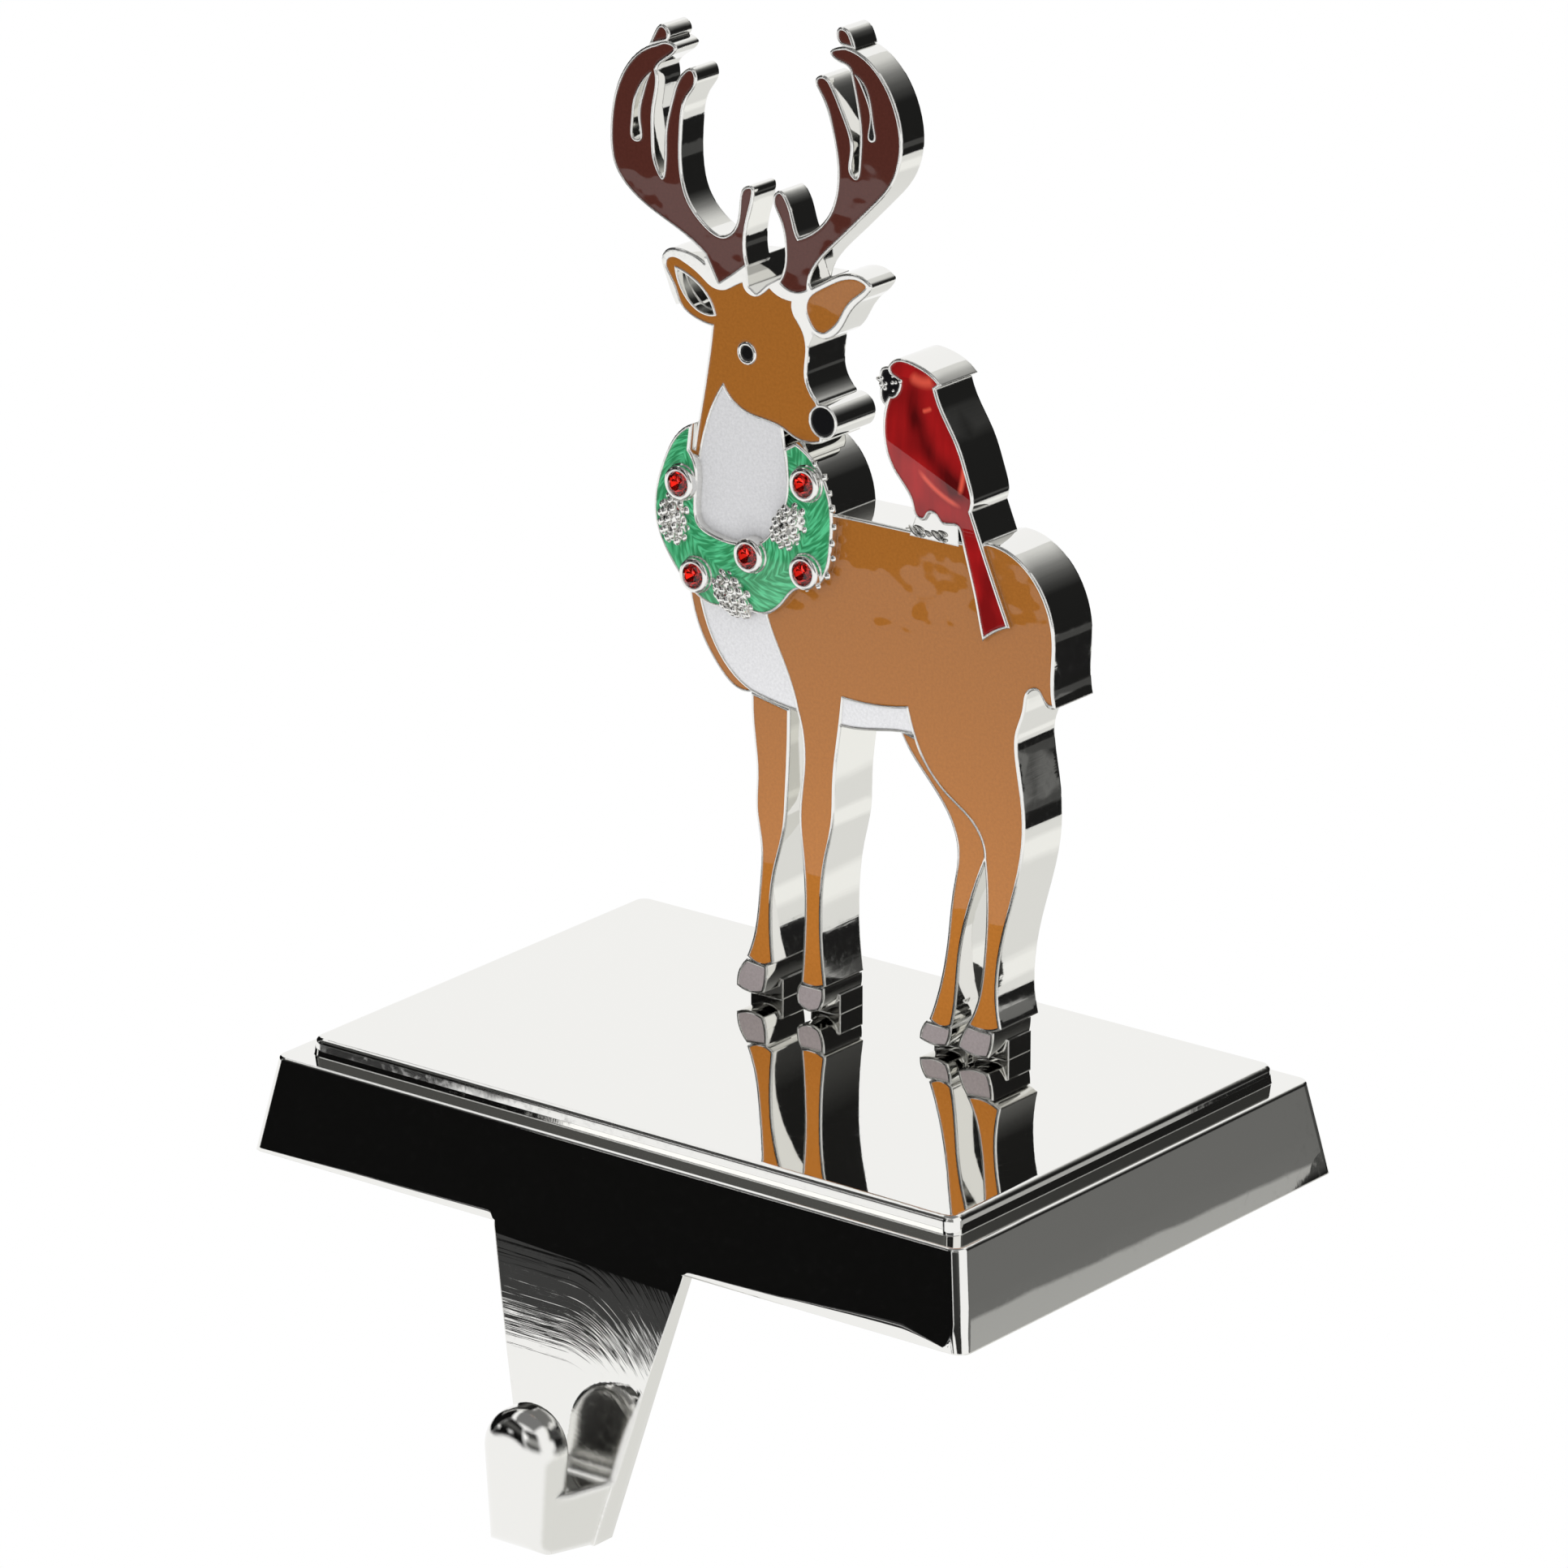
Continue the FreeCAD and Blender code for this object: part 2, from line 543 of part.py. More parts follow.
def figure_screws():
    """Two pan-head screws that hold the deer from inside the base."""
    length = base_top_z - cavity_z + screw_grip
    screws = []
    for centre in screw_centres():
        seat = Vector(centre.x, centre.y, cavity_z)
        shank = Part.makeCylinder(screw_diameter / 2, length, seat)
        under_head = Vector(centre.x, centre.y, cavity_z - screw_head_height)
        head = Part.makeCylinder(screw_head_diameter / 2, screw_head_height, under_head)
        drive = [
            Part.makeBox(long_side, short_side, drive_depth,
                         under_head - Vector(long_side / 2, short_side / 2, 0))
            for long_side, short_side in ((2 * drive_width, drive_width / 3), (drive_width / 3, 2 * drive_width))
        ]
        screws.append(shank.fuse(head).cut(drive))
    return Part.makeCompound(screws)


def wreath_area():
    """Flat shape of the wreath."""
    return area(WREATH, outer_grow)


def pinecone(x, z, turn):
    """Half-sunk cone whose surface runs in rings of scales about its long axis."""
    steps = 2 * pinecone_ridges
    half_length = drawn(pinecone_length) / 2
    profile = [Vector(-half_length, 0, 0)]
    for k in range(1, steps):
        share = 2 * k / steps - 1
        bulge = (1 - share * share) ** 0.5
        ridge = 1.0 if k % 2 else 0.8
        profile.append(Vector(share * half_length, 0, bulge * ridge * drawn(pinecone_width) / 2))
    profile.append(Vector(half_length, 0, 0))
    half = Part.Face(Part.makePolygon(profile + profile[:1]))
    cone = half.revolve(Vector(0, 0, 0), Vector(1, 0, 0), 360)
    cone.rotate(Vector(0, 0, 0), Vector(0, 1, 0), -turn)
    cone.translate(Vector(x * figure_scale, drawn(pinecone_sink) - wreath_proud, z * figure_scale))
    return cone


def beak():
    """The bird's beak, a small cone that points to the left."""
    root = Vector(BEAK_ROOT[0], 0, BEAK_ROOT[1]) * figure_scale
    root.y = drawn(beak_root_diameter) / 2 - bird_proud
    return Part.makeCone(
        drawn(beak_root_diameter) / 2, drawn(beak_tip_diameter) / 2, drawn(beak_length), root, Vector(-1, 0, 0),
    )


def bezel(centre):
    """Round collar of a stone, with its outer edge rounded."""
    collar = slab(disc(centre, bezel_diameter), -wreath_proud - bezel_height, 0)
    front = [edge for edge in collar.Edges if edge.BoundBox.YMax < -wreath_proud - bezel_height / 2]
    return collar.makeFillet(bezel_edge_radius, front)


def pinecones():
    """The three pinecones of the wreath."""
    return [pinecone(*place) for place in PINECONES]


def colour_cells():
    """Flat shape of every enamel cell on the main face, by the name of its enamel."""
    shrink = -line_width / 2
    wreath = wreath_area()
    bird = joined([area(BIRD, outer_grow), area(BIRD_MASK, outer_grow), area(BIRD_LEGS, 0)])
    face = [
        disc(NOSE_CENTRE, nose_diameter, line_width), disc(EYE_CENTRE, eye_ring_diameter),
        area(EAR_LEAF, line_width), wreath,
    ]
    return {
        "left_antler_enamel": [area(LEFT_ANTLER, shrink).cut(area(LEFT_ANTLER_SLOT, line_width)),
                               area(LEFT_ANTLER_TIP, shrink)],
        "right_antler_enamel": [area(RIGHT_ANTLER, shrink).cut(area(RIGHT_ANTLER_GROOVE)),
                                area(RIGHT_ANTLER_TIP, shrink)],
        "head_enamel": [area(HEAD, shrink).cut(face)],
        "right_ear_enamel": [area(RIGHT_EAR, shrink)],
        "nose_enamel": [disc(NOSE_CENTRE, nose_diameter)],
        "eye_enamel": [disc(EYE_CENTRE, eye_diameter)],
        "throat_enamel": [area(THROAT, shrink).cut(wreath)],
        "chest_edge_enamel": [area(CHEST_EDGE, shrink).cut(wreath)],
        "chest_enamel": [area(CHEST, shrink).cut(wreath)],
        "body_enamel": [area(BODY, shrink).cut([wreath, bird])],
        "belly_enamel": [area(BELLY, shrink)],
        "far_front_leg_enamel": [area(FAR_FRONT_LEG, shrink)],
        "far_rear_leg_enamel": [area(FAR_REAR_LEG, shrink)],
        "hoof_enamel": [area(hoof, shrink) for hoof in HOOVES.values()],
    }


def deer_masses():
    """Solid masses that together make the deer casting, before its cells are cut."""
    masses = [
        slab(area(CROWN), 0, body_thickness),
        slab(disc(NOSE_CENTRE, nose_diameter, rim_width), 0, body_thickness),
        slab(area(BIRD_LEGS), 0, bird_thickness - bird_proud),
        beak(),
    ]
    for shape in (HEAD, LEFT_EAR_RIM, THROAT, CHEST_EDGE, CHEST, BODY, BELLY, FAR_FRONT_LEG, FAR_REAR_LEG):
        masses += bevelled(shape, outer_grow, 0, body_thickness)
    for shape in (LEFT_ANTLER, LEFT_ANTLER_TIP, RIGHT_ANTLER, RIGHT_ANTLER_TIP):
        masses += bevelled(shape, outer_grow, 0, antler_thickness)
    masses += bevelled(RIGHT_EAR_RIM, 0, 0, ear_thickness)
    for shape in (BIRD, BIRD_MASK):
        masses += bevelled(shape, outer_grow, -bird_proud, bird_thickness - bird_proud)
    masses += bevelled(WREATH, outer_grow, -wreath_proud, body_thickness)
    for hoof in HOOVES.values():
        masses += bevelled(hoof, outer_grow, 0, body_thickness)
        box = outline_wire(hoof, outer_grow).BoundBox
        masses.append(Part.makeBox(
            box.XLength, body_thickness - foot_setback, foot_height, Vector(box.XMin, foot_setback, 0)
        ))
    return masses + [bezel(centre) for centre in STONE_CENTRES] + pinecones()


def wreath_cell():
    """Flat shape of the wreath's enamel, clear of its stones and pinecones."""
    inside = area(WREATH, -line_width / 2)
    stones = [disc(centre, bezel_diameter, line_width / 2) for centre in STONE_CENTRES]
    return inside.cut(stones)


def make_figure():
    """The deer casting, the enamel in its cells and the stones in their bezels, by name."""
    pieces = {}
    recesses = []
    for name, flats in colour_cells().items():
        solids = []
        for flat in flats:
            recesses.append(slab(flat, 0, cell_depth))
            solids += slab(flat, enamel_sink, cell_depth).Solids
        pieces[name] = solids
    bird_cells = {"bird_enamel": BIRD, "bird_mask_enamel": BIRD_MASK}
    for name, shape in bird_cells.items():
        flat = area(shape, -line_width / 2)
        recesses.append(slab(flat, -bird_proud, cell_depth - bird_proud))
        pieces[name] = slab(flat, enamel_sink - bird_proud, cell_depth - bird_proud).Solids
    flat = wreath_cell()
    cones = pinecones()
    recesses.append(slab(flat, -wreath_proud, wreath_cell_depth - wreath_proud).cut(cones))
    ring = slab(flat, enamel_sink - wreath_proud, wreath_cell_depth - wreath_proud).cut(cones)
    pieces["wreath_enamel"] = ring.Solids
    bezel_top = -wreath_proud - bezel_height
    for number, centre in enumerate(STONE_CENTRES, 1):
        seat = slab(disc(centre, stone_diameter), bezel_top, bezel_top + bezel_seat_depth)
        recesses.append(seat)
        pieces[f"wreath_stone_{number}"] = [cut_stone(centre, bezel_top + bezel_seat_depth)]
    recesses.append(slab(area(EAR_LEAF), 0, ear_hollow_depth))
    recesses.append(slab(area(LEFT_ANTLER_SLOT), 0, antler_thickness))
    holes = []
    for centre in screw_centres():
        place = centre - Vector(0, figure_y, 0)
        holes.append(Part.makeCylinder(screw_diameter / 2, screw_grip, place))
    masses = deer_masses()
    casting = masses[0].multiFuse(masses[1:]).removeSplitter()
    casting = casting.cut(recesses + holes)
    pieces["deer_casting"] = casting.Solids
    return {name: on_base(Part.makeCompound(solids)) for name, solids in pieces.items()}


def cut_stone(centre, back):
    """Round stone with a girdle, a bevelled crown of eight facets and a flat table, facing the front."""
    girdle = Part.makeCylinder(
        drawn(stone_diameter) / 2, stone_height / 3,
        Vector(centre[0] * figure_scale, back, centre[1] * figure_scale), Vector(0, -1, 0),
    )
    crown_base = back - stone_height / 3

    def octagon(diameter, depth):
        middle = Vector(centre[0] * figure_scale, depth, centre[1] * figure_scale)
        arm = Vector(diameter / 2, 0, 0)
        corners = [
            middle + FreeCAD.Rotation(Vector(0, 1, 0), 45 * k).multVec(arm) for k in range(9)
        ]
        return Part.makePolygon(corners)

    crown = Part.makeLoft(
        [octagon(drawn(stone_diameter), crown_base), octagon(drawn(stone_diameter) / 2, back - stone_height)],
        True, True,
    )
    return girdle.fuse(crown).removeSplitter()


def main():
    """Writes one STEP file for each piece."""
    pieces = {
        "base_with_hook": base_with_hook(),
        "non_slip_pad": non_slip_pad(),
        "figure_screws": figure_screws(),
        **make_figure(),
    }
    os.makedirs("parts", exist_ok=True)
    for name, shape in pieces.items():
        solids = shape.Solids
        if len(solids) == 1:
            shape = solids[0]
        shape.exportStep(f"parts/{name}.step")
        print(f"{name}: {len(solids)} solid(s), valid {shape.isValid()}, {shape.Volume:.1f} mm3")


main()
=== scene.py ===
# %% [markdown]
# A mantel stocking holder: a heavy plated base with a hook that hangs over the shelf's edge, and a flat
# enamelled reindeer standing on it. The cast metal comes with the frame, to the right size. Blender's share
# is the finish: mirror plating, glossy enamel, clear coloured enamel over engraving, cut stones and tiny
# pinecones.

# %% Load the frame
import math

import bmesh
import bpy
import numpy as np
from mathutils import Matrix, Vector


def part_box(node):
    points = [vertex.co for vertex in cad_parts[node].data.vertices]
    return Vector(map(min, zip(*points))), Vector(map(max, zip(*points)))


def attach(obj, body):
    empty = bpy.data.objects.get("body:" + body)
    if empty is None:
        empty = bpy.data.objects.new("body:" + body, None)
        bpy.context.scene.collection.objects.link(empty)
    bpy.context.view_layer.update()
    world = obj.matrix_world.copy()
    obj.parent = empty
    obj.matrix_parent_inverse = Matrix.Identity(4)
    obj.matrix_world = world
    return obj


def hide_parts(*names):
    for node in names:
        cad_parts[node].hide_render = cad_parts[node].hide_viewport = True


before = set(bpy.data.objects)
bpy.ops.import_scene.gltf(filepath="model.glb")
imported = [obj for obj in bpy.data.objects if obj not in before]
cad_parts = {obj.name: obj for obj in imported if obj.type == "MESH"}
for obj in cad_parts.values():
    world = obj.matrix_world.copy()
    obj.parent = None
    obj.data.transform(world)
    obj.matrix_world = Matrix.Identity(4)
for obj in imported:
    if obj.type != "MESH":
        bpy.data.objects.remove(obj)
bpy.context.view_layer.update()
MM = 0.001
base_low, base_high = (np.array(corner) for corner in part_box("base_with_hook"))
BASE_TOP = float(base_high[2])
ENAMEL_FRONT = float(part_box("body_enamel")[0][1])
WREATH_FRONT = float(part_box("wreath_enamel")[0][1])
BIRD_FRONT = float(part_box("bird_enamel")[0][1])
print("nodes:", len(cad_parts), "base top at", round(BASE_TOP / MM, 2), "mm")

# %% [markdown]
# Every finish here is one Principled shader with a few texture nodes in front of it. Small helpers keep
# that short: one makes the shader, one adds a node with its inputs, one joins a node to the shader, and one
# gives the finish to a piece of the frame.


# %% Make a finish, add a node and dress a piece
def finish(name, **inputs):
    """A new material with a Principled shader whose sockets are set by name."""
    made = bpy.data.materials.new(name)
    made.use_nodes = True
    shader = made.node_tree.nodes["Principled BSDF"]
    for socket, value in inputs.items():
        shader.inputs[socket.replace("_", " ")].default_value = value
    return made


def node(made, kind, settings=(), **inputs):
    """Adds a node, sets its properties, and sets or links its inputs, which are named or numbered as in0."""
    new = made.node_tree.nodes.new(kind)
    for key, value in dict(settings).items():
        setattr(new, key, value)
    for key, value in inputs.items():
        socket = new.inputs[int(key[2:]) if key[:2] == "in" and key[2:].isdigit() else key.replace("_", " ")]
        if isinstance(value, bpy.types.NodeSocket):
            made.node_tree.links.new(value, socket)
        else:
            socket.default_value = value
    return new


def link(made, out, socket):
    """Joins an output to a socket of the Principled shader."""
    made.node_tree.links.new(out, made.node_tree.nodes["Principled BSDF"].inputs[socket])


def dress(name, made):
    """Gives a CAD node one of the finishes."""
    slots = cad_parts[name].data.materials
    slots.clear()
    slots.append(made)


# %% [markdown]
# A pattern is a noise that reads Object coordinates, so it stays fixed to the metal, whichever way the
# camera goes. A little arithmetic puts it where it belongs, and a bump turns it into the slope that light
# meets.


# %% Patterns and arithmetic
def place(made):
    """Object coordinates, in metres."""
    return node(made, "ShaderNodeTexCoord").outputs["Object"]


def split(made, vector):
    """The X, Y and Z of a vector, by name."""
    return node(made, "ShaderNodeSeparateXYZ", in0=vector).outputs


def noise(made, where, scale, detail=2.0, roughness=0.5, distortion=0.0):
    """A noise value from 0 to 1 whose features are about 1/scale metres across."""
    made_noise = node(
        made, "ShaderNodeTexNoise", Vector=where, Scale=scale, Detail=detail, Roughness=roughness,
        Distortion=distortion,
    )
    return made_noise.outputs["Fac"]


def mapped(made, value, low, high, to_low, to_high):
    """Maps a value from one range to another, clamped at its ends."""
    return node(
        made, "ShaderNodeMapRange", Value=value, From_Min=low, From_Max=high, To_Min=to_low, To_Max=to_high
    ).outputs["Result"]


def math_node(made, operation, first, second=0.0):
    """One arithmetic step on values or sockets."""
    return node(made, "ShaderNodeMath", {"operation": operation}, in0=first, in1=second).outputs[0]


def plus(made, first, second):
    """The sum of two values."""
    return math_node(made, "ADD", first, second)


def minus(made, first, second):
    """The first value less the second."""
    return math_node(made, "SUBTRACT", first, second)


def times(made, first, second):
    """The product of two values."""
    return math_node(made, "MULTIPLY", first, second)


def bump(made, height, depth, normal=None):
    """A shading normal from a height of 0 to 1 that stands for depth metres."""
    extra = {} if normal is None else {"Normal": normal}
    return node(made, "ShaderNodeBump", Height=height, Distance=depth, **extra).outputs["Normal"]


# %% [markdown]
# The plating is bright nickel on cast zinc: nearly a mirror, a trace warm. Its walls keep fine lines along
# the way that the casting left its mould, and the big faces keep a slow ripple from hand polishing. A
# mirror has no look of its own, so most of its look comes from what stands around it, which the studio
# below takes care of. One even roughness would do from afar. Close up it looks drawn, so haze, ripple and
# lines are noises of their own.

# %% Plated metal
NICKEL = (0.86, 0.855, 0.83, 1)
HAZE = 0.06


def plating(name, shine, ripple, lines, stretch, edge):
    """Mirror plating: shine is its least roughness, ripple and lines are depths, and edge is a radius.

    The lines are noise whose coordinates are drawn out along one axis by stretch. The plating wraps round
    every edge of the casting, so its normal bends over within the edge's radius."""
    made = finish(name, Base_Color=NICKEL, Metallic=1.0, Roughness=shine)
    where = place(made)
    haze = noise(made, where, scale=900.0, detail=4.0, roughness=0.6)
    link(made, mapped(made, haze, 0.5, 0.85, shine, shine + HAZE), "Roughness")
    around = node(made, "ShaderNodeBevel", {"samples": 6}, Radius=edge).outputs["Normal"]
    wave = bump(made, noise(made, where, scale=90.0, detail=1.0), ripple, around)
    stretched = node(made, "ShaderNodeMapping", Vector=where, Scale=stretch).outputs["Vector"]
    grain = bump(made, noise(made, stretched, scale=1500.0, detail=2.0, roughness=0.6), lines, wave)
    link(made, grain, "Normal")
    return made, where, grain


# %% [markdown]
# A hand-polished face is never quite where the drawing has it, and in a mirror a few degrees decide between
# a dark board and the pale floor. So the shading normal can be turned up or down a little. On the reindeer
# the narrow lines of metal between the enamels lean a trace forward, which is why they shine white.

# %% Plating of the reindeer
FENCE_LEAN = -0.05


def leaning(made, normal, amount):
    """A normal turned upwards by about amount radians, which is a value or a socket."""
    up = node(made, "ShaderNodeCombineXYZ", in2=amount).outputs[0]
    both = node(made, "ShaderNodeVectorMath", {"operation": "ADD"}, in0=normal, in1=up).outputs[0]
    return node(made, "ShaderNodeVectorMath", {"operation": "NORMALIZE"}, in0=both).outputs[0]


def facing(made):
    """The X, Y and Z of the way that the surface faces."""
    return split(made, node(made, "ShaderNodeNewGeometry").outputs["Normal"])


deer_plating, _, grain = plating("deer_plating", shine=0.035, ripple=0.02 * MM, lines=0.003 * MM,
                                 stretch=(1.0, 0.07, 1.0), edge=0.3 * MM)
fence_lean = mapped(deer_plating, facing(deer_plating)["Y"], -0.95, -0.8, FENCE_LEAN, 0.0)
link(deer_plating, leaning(deer_plating, grain, fence_lean), "Normal")
dress("deer_casting", deer_plating)
print("deer_plating has", len(deer_plating.node_tree.nodes), "nodes")

# %% [markdown]
# The base's walls don't stay straight down to the rim. Their last millimetre or two rolls inwards, where
# the wheel took more off the edge, and so it catches the floor. The roll is a height that falls with the
# square of the way into it. Its width changes along the wall: none over the hook, two millimetres near the
# right corner, and a third of the right-hand wall. A round in the casting could do it too, but one that
# changes so much along its way costs many faces, and in a mirror only the slope is seen.

# %% Rolled rim of the base
PAD_PROUD = 0.6 * MM
RIM = float(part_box("non_slip_pad")[0][2]) + PAD_PROUD
LEFT_END, RIGHT_END = float(base_low[0]), float(base_high[0])
ROLL_DEPTH, WIDEST_ROLL, LEAST_ROLL = 0.16 * MM, 6.2 * MM, 0.01 * MM
# Places along x in mm, each with the roll's width there in mm.
ROLL_WIDTHS = [(-54.0, 0.45), (-30.0, 0.9), (-16.9, 1.1), (-16.3, 0.0), (13.3, 0.0), (13.9, 0.5),
               (28.0, 0.9), (42.0, 1.9), (46.0, 2.0), (52.5, 0.5), (54.2, 6.2)]


def ramp(made, value, stops):
    """A colour that changes with a value from 0 to 1: stops are (value, colour)."""
    new = node(made, "ShaderNodeValToRGB", Fac=value)
    elements = new.color_ramp.elements
    while len(elements) < len(stops):
        elements.new(0.5)
    for element, (spot, colour) in zip(elements, stops):
        element.position = spot
        element.color = colour
    return new.outputs["Color"]


def rolled_rim(made, where, x, z):
    """A height that is 1 on the wall and falls to 0 at the rim.

    The way into the roll is one less the height above the rim over the roll's width, and the height is one
    less the square of that. The width wavers by a tenth, and where it is none there is no roll."""
    stops = [((spot * MM - LEFT_END) / (RIGHT_END - LEFT_END), (wide * MM / WIDEST_ROLL,) * 3 + (1,))
             for spot, wide in ROLL_WIDTHS]
    width = times(made, ramp(made, mapped(made, x, LEFT_END, RIGHT_END, 0.0, 1.0), stops), WIDEST_ROLL)
    waver = mapped(made, noise(made, where, scale=70.0, detail=1.0), 0.3, 0.7, 0.9, 1.1)
    width = math_node(made, "MAXIMUM", times(made, width, waver), LEAST_ROLL)
    into = minus(made, 1.0, math_node(made, "DIVIDE", minus(made, z, RIM), width))
    has_roll = mapped(made, width, LEAST_ROLL, 10 * LEAST_ROLL, 0.0, 1.0)
    into = times(made, mapped(made, into, 0.0, 1.0, 0.0, 1.0), has_roll)
    return minus(made, 1.0, times(made, into, into))


base_plating, where, grain = plating("base_plating", shine=0.02, ripple=0.01 * MM, lines=0.0005 * MM,
                                     stretch=(1.0, 1.0, 0.25), edge=0.25 * MM)
base_parts = split(base_plating, where)
base_x, base_z = base_parts["X"], base_parts["Z"]
rim_height = rolled_rim(base_plating, where, base_x, base_z)
rolled = bump(base_plating, rim_height, ROLL_DEPTH, grain)
print("rim at", round(RIM / MM, 2), "mm, rolled up to", round(WIDEST_ROLL / MM, 1), "mm wide")

# %% [markdown]
# The front wall and the hook's plate lie in one plane, and polishing has turned both a trace upwards: the
# walls by less than a degree, and the plate's top two millimetres by a little more, down to a line that
# slants with x. That keeps the dark band of the wall going for a little way into the plate, before the
# brushing starts.

# %% Lean of the walls and of the plate's top
WALL_LEAN, PLATE_LEAN = 0.014, 0.04
PLATE_LEAN_FROM, PLATE_LEAN_TO, PLATE_LEAN_SLANT = 1.7 * MM, 2.1 * MM, 0.04

on_wall = mapped(base_plating, base_z, RIM - 0.4 * MM, RIM, 0.0, WALL_LEAN)
below = minus(base_plating, minus(base_plating, RIM, base_z), times(base_plating, base_x, PLATE_LEAN_SLANT))
plate_lean = mapped(base_plating, below, PLATE_LEAN_FROM, PLATE_LEAN_TO, PLATE_LEAN, 0.0)
plate_lean = times(base_plating, plate_lean, mapped(base_plating, base_z, RIM - 0.2 * MM, RIM, 1.0, 0.0))
polished_wall = leaning(base_plating, rolled, plus(base_plating, on_wall, plate_lean))
print("walls lean by", round(math.degrees(WALL_LEAN), 1), "degrees")

# %% [markdown]
# The hook's plate was brushed across, and its lines turn downwards at the right. So the noise is long in x
# and fine in height, and it is read at a height that grows with the square of the way past the place where
# the lines start to turn. A picture of scratches could be laid on instead, but it would have to be bent to
# fit. The finger has had the most polish, so its edges are the roundest. Its back is the one place that no
# wheel reaches, and it stays duller.

# %% Brushed plate and rounded finger
BRUSH_LENGTH, BRUSH_FINENESS, BRUSH_DEPTH = 30.0, 1000.0, 0.011 * MM
TURN_START, TURN_RATE = -4.0 * MM, 45.0
FINGER_TOP, FINGER_BODY = -14.0 * MM, -20.0 * MM
EDGE_ROUNDING, FINGER_ROUNDING = 0.25 * MM, 1.6 * MM
DULL_BACK = 0.13

on_hook = mapped(base_plating, base_z, RIM - 2.0 * MM, RIM - 4.0 * MM, 0.0, 1.0)
past = math_node(base_plating, "MAXIMUM", minus(base_plating, base_x, TURN_START), 0.0)
height = plus(base_plating, base_z, times(base_plating, times(base_plating, past, past), TURN_RATE))
brushing = node(base_plating, "ShaderNodeCombineXYZ", in0=times(base_plating, base_x, BRUSH_LENGTH),
                in2=times(base_plating, height, BRUSH_FINENESS))
brushed = times(base_plating, noise(base_plating, brushing.outputs[0], scale=1.0, detail=3.0), on_hook)
link(base_plating, bump(base_plating, brushed, BRUSH_DEPTH, polished_wall), "Normal")

rounding = mapped(base_plating, base_z, FINGER_TOP, FINGER_BODY, EDGE_ROUNDING, FINGER_ROUNDING)
base_plating.node_tree.links.new(rounding, base_plating.node_tree.nodes["Bevel"].inputs["Radius"])
backwards = mapped(base_plating, facing(base_plating)["Y"], 0.3, 0.8, 0.0, DULL_BACK)
shine = base_plating.node_tree.nodes["Principled BSDF"].inputs["Roughness"].links[0].from_socket
link(base_plating, plus(base_plating, shine, times(base_plating, backwards, on_hook)), "Roughness")
dress("base_with_hook", base_plating)
print("base_plating has", len(base_plating.node_tree.nodes), "nodes")

# %% [markdown]
# The brown, white and grey enamels are opaque cold enamel, poured into the cells and left to level itself.
# Its surface is glossy but never quite flat, so the coat gets a slow wave of its own, while the colour
# below it is matt and very slightly mottled. One glossy layer would be simpler, but then the wave would
# shade the colour too.


# %% Opaque enamel
def blend(made, share, first, second):
    """A colour between two colours, by a share from 0 to 1. Each of them is a value or a socket."""
    return node(made, "ShaderNodeMix", {"data_type": "RGBA"}, in0=share, in6=first, in7=second).outputs[2]


def opaque_enamel(name, colour, wave=0.09 * MM, edge=0.35 * MM):
    """Matt colour under a glossy, slowly waving coat, which bends over within edge metres of its border."""
    made = finish(
        name, Roughness=0.55, Coat_Weight=1.0, Coat_Roughness=0.02, Coat_IOR=1.5, Specular_IOR_Level=0.0
    )
    where = place(made)
    grain = noise(made, where, scale=2600.0, detail=3.0, roughness=0.7)
    deep = tuple(0.9 * c for c in colour) + (1,)
    pale = tuple(min(1.0, 1.1 * c) for c in colour) + (1,)
    link(made, blend(made, mapped(made, grain, 0.3, 0.7, 0.0, 1.0), deep, pale), "Base Color")
    border = node(made, "ShaderNodeBevel", {"samples": 4}, Radius=edge).outputs["Normal"]
    slow = noise(made, where, scale=75.0, detail=2.5, roughness=0.45)
    link(made, bump(made, slow, wave, border), "Coat Normal")
    return made


BROWN_WAVE = 0.16 * MM
tan = opaque_enamel("tan_enamel", (0.385, 0.140, 0.024), BROWN_WAVE)
dark_brown = opaque_enamel("dark_brown_enamel", (0.092, 0.025, 0.018), BROWN_WAVE)
white = opaque_enamel("white_enamel", (0.73, 0.73, 0.745))
grey = opaque_enamel("grey_enamel", (0.29, 0.255, 0.255))
black = opaque_enamel("black_enamel", (0.008, 0.008, 0.009))
OPAQUE_CELLS = {
    "left_antler_enamel": dark_brown, "right_antler_enamel": dark_brown, "head_enamel": tan,
    "right_ear_enamel": tan, "nose_enamel": black, "eye_enamel": black, "throat_enamel": white,
    "chest_edge_enamel": tan, "chest_enamel": white, "body_enamel": tan, "belly_enamel": white,
    "far_front_leg_enamel": tan, "far_rear_leg_enamel": tan, "hoof_enamel": grey, "bird_mask_enamel": black,
}
for cell, enamel in OPAQUE_CELLS.items():
    dress(cell, enamel)
print("opaque enamel in", len(OPAQUE_CELLS), "cells")

# %% [markdown]
# The bird and the wreath have clear coloured enamel over engraved, plated metal. The light goes through the
# colour, bounces on the engraving and comes back. So the base layer is partly metallic, takes the relief
# and is pale where the relief is high, and the coat above it stays smooth and domed. Real glass over real
# metal would need many more bounces of light for the same look.


# %% Clear enamel over engraving
def clear_enamel(made, where, colour, relief, depth, lean=0.0, dome=0.5 * MM):
    """Coloured metal with a relief depth metres deep, under a coat that bends over within dome metres."""
    link(made, colour, "Base Color")
    link(made, bump(made, relief, depth), "Normal")
    border = node(made, "ShaderNodeBevel", {"samples": 4}, Radius=dome).outputs["Normal"]
    waving = bump(made, noise(made, where, scale=110.0, detail=1.0), 0.04 * MM, border)
    link(made, leaning(made, waving, lean), "Coat Normal")


def hypotenuse(made, right, up):
    """The root of the sum of two squares."""
    return math_node(made, "SQRT", plus(made, times(made, right, right), times(made, up, up)))


